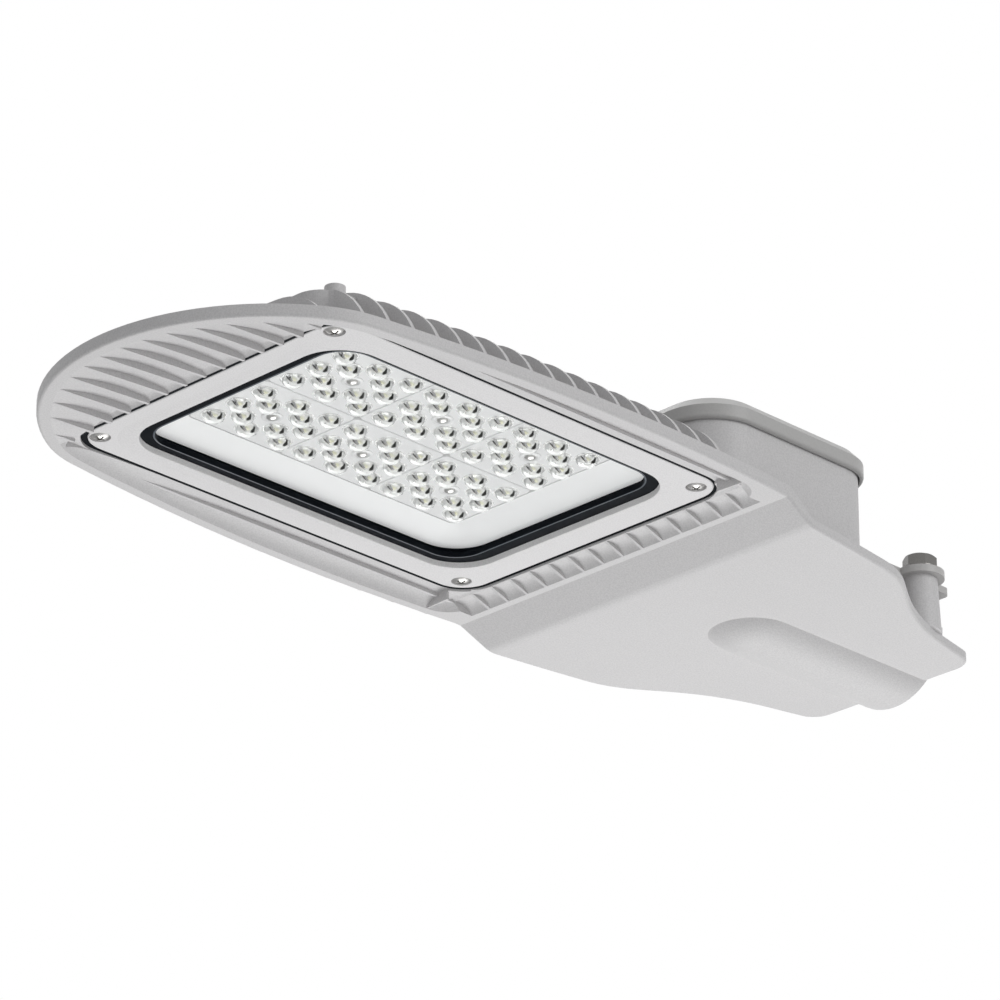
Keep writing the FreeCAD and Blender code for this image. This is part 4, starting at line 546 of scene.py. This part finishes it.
def make_lens_modules():
    """Six moulded plates with their domed lenses, and the LED chips behind them."""
    chips = bmesh.new()
    columns = [(column, row) for row in (-0.5, 0.5) for column in (-1, 0, 1)]
    for number, (column, row) in enumerate(columns, start=1):
        x = WINDOW_X + column * MODULE_PITCH[0] * MM
        y = row * MODULE_PITCH[1] * MM
        make_plate("lens_plate_%d" % number, (x, y, LENS_FACE_Z))
        centres = [(x + dx * MM, y + dy * MM, LENS_FACE_Z - DOME_LIFT * MM)
                   for dx, dy in lens_places()]
        bm = bmesh.new()
        for centre in centres:
            make_dome(bm, centre)
            add_box(chips, (centre[0], centre[1], LENS_FACE_Z - CHIP_HALF[2] * MM), CHIP_HALF)
        bmesh.ops.recalc_face_normals(bm, faces=bm.faces)
        for centre in centres:
            lens_marks(bm, centre)
        coats = [MATERIALS["clear_lens"], LENS_PAINTED_SHADE, LENS_GLINT]
        finish_piece("lens_domes_%d" % number, bm, coats,
                     ["lens_module_%d" % number], sharp=50)
    finish_piece("led_dies", chips, MATERIALS["yellow_phosphor"], ["led_chips"])


make_gasket()
make_tray()
make_bezel_gap_shade()
make_bezel_bead()
make_lens_modules()


# Stage, light and camera

def make_floor():
    s = Shader("floor_paint")
    tone = s.ramp(s.noise(3.0, 3.0), (0.3, grey(0.78)), (0.7, grey(0.82)))
    paint = s.surface(s.principled(tone, 0.7))
    bpy.ops.mesh.primitive_plane_add(size=14, location=(-0.25, 0, -1.7))
    floor = bpy.context.object
    floor.name = "floor"
    floor.data.materials.append(paint)


def make_world():
    """A soft studio world that shows as white behind the object and in clear or shiny parts."""
    world = bpy.data.worlds.new("studio")
    bpy.context.scene.world = world
    world.use_nodes = True
    nodes = world.node_tree.nodes
    links = world.node_tree.links
    nodes.clear()
    path = nodes.new("ShaderNodeLightPath").outputs
    seen = path["Is Camera Ray"]
    for other in (path["Is Transmission Ray"], path["Is Glossy Ray"]):
        either = nodes.new("ShaderNodeMath")
        either.operation = "MAXIMUM"
        links.new(seen, either.inputs[0])
        links.new(other, either.inputs[1])
        seen = either.outputs["Value"]
    both = nodes.new("ShaderNodeMixShader")
    links.new(seen, both.inputs["Fac"])
    skies = ((0.97, 0.98, 1.0, 1), SOFT_LIGHT), ((1, 1, 1, 1), 1.0)
    for socket, (colour, strength) in zip(both.inputs[1:], skies):
        sky = nodes.new("ShaderNodeBackground")
        sky.inputs["Color"].default_value = colour
        sky.inputs["Strength"].default_value = strength
        links.new(sky.outputs["Background"], socket)
    output = nodes.new("ShaderNodeOutputWorld")
    links.new(both.outputs["Shader"], output.inputs["Surface"])


def area_light(name, place, size, power):
    """A rectangular lamp that looks at the middle of the object."""
    data = bpy.data.lights.new(name, "AREA")
    data.shape = "RECTANGLE"
    data.size, data.size_y = size
    data.energy = power
    lamp = bpy.data.objects.new(name, data)
    lamp.location = place
    way = (OBJECT_MIDDLE - Vector(place)).normalized()
    lamp.rotation_euler = way.to_track_quat("-Z", "Y").to_euler()
    bpy.context.scene.collection.objects.link(lamp)


def make_camera():
    """The photograph's view: from below, in front of the nose and to one side."""
    data = bpy.data.cameras.new("camera")
    data.sensor_width = 36
    data.lens = 203.7
    data.clip_end = 50
    camera = bpy.data.objects.new("camera", data)
    right = CAMERA_RIGHT.normalized()
    forward = CAMERA_FORWARD.normalized()
    turn = Matrix((right, right.cross(forward), -forward)).transposed().to_4x4()
    camera.matrix_world = Matrix.Translation(CAMERA_PLACE) @ turn
    bpy.context.scene.collection.objects.link(camera)
    bpy.context.scene.camera = camera


SOFT_LIGHT = 0.33
OBJECT_MIDDLE = Vector((-0.23, 0, 0))
CAMERA_PLACE = Vector((-1.7364, -1.4892, -0.9637))
CAMERA_RIGHT = Vector((0.7061, -0.7081, 0.0))
CAMERA_FORWARD = Vector((0.6449, 0.6431, 0.4128))

make_floor()
make_world()
area_light("softbox_below", (0.6, 0.55, -1.3), (1.2, 1.2), 16)
area_light("softbox_front", (-1.1, -1.0, -1.35), (1.2, 1.2), 3.5)
area_light("softbox_side", (0.1, -1.75, 0.4), (1.0, 0.8), 9.5)
area_light("softbox_top", (0.3, 0.9, 1.7), (1.6, 1.2), 8)
make_camera()
bpy.context.scene.view_settings.view_transform = "Standard"
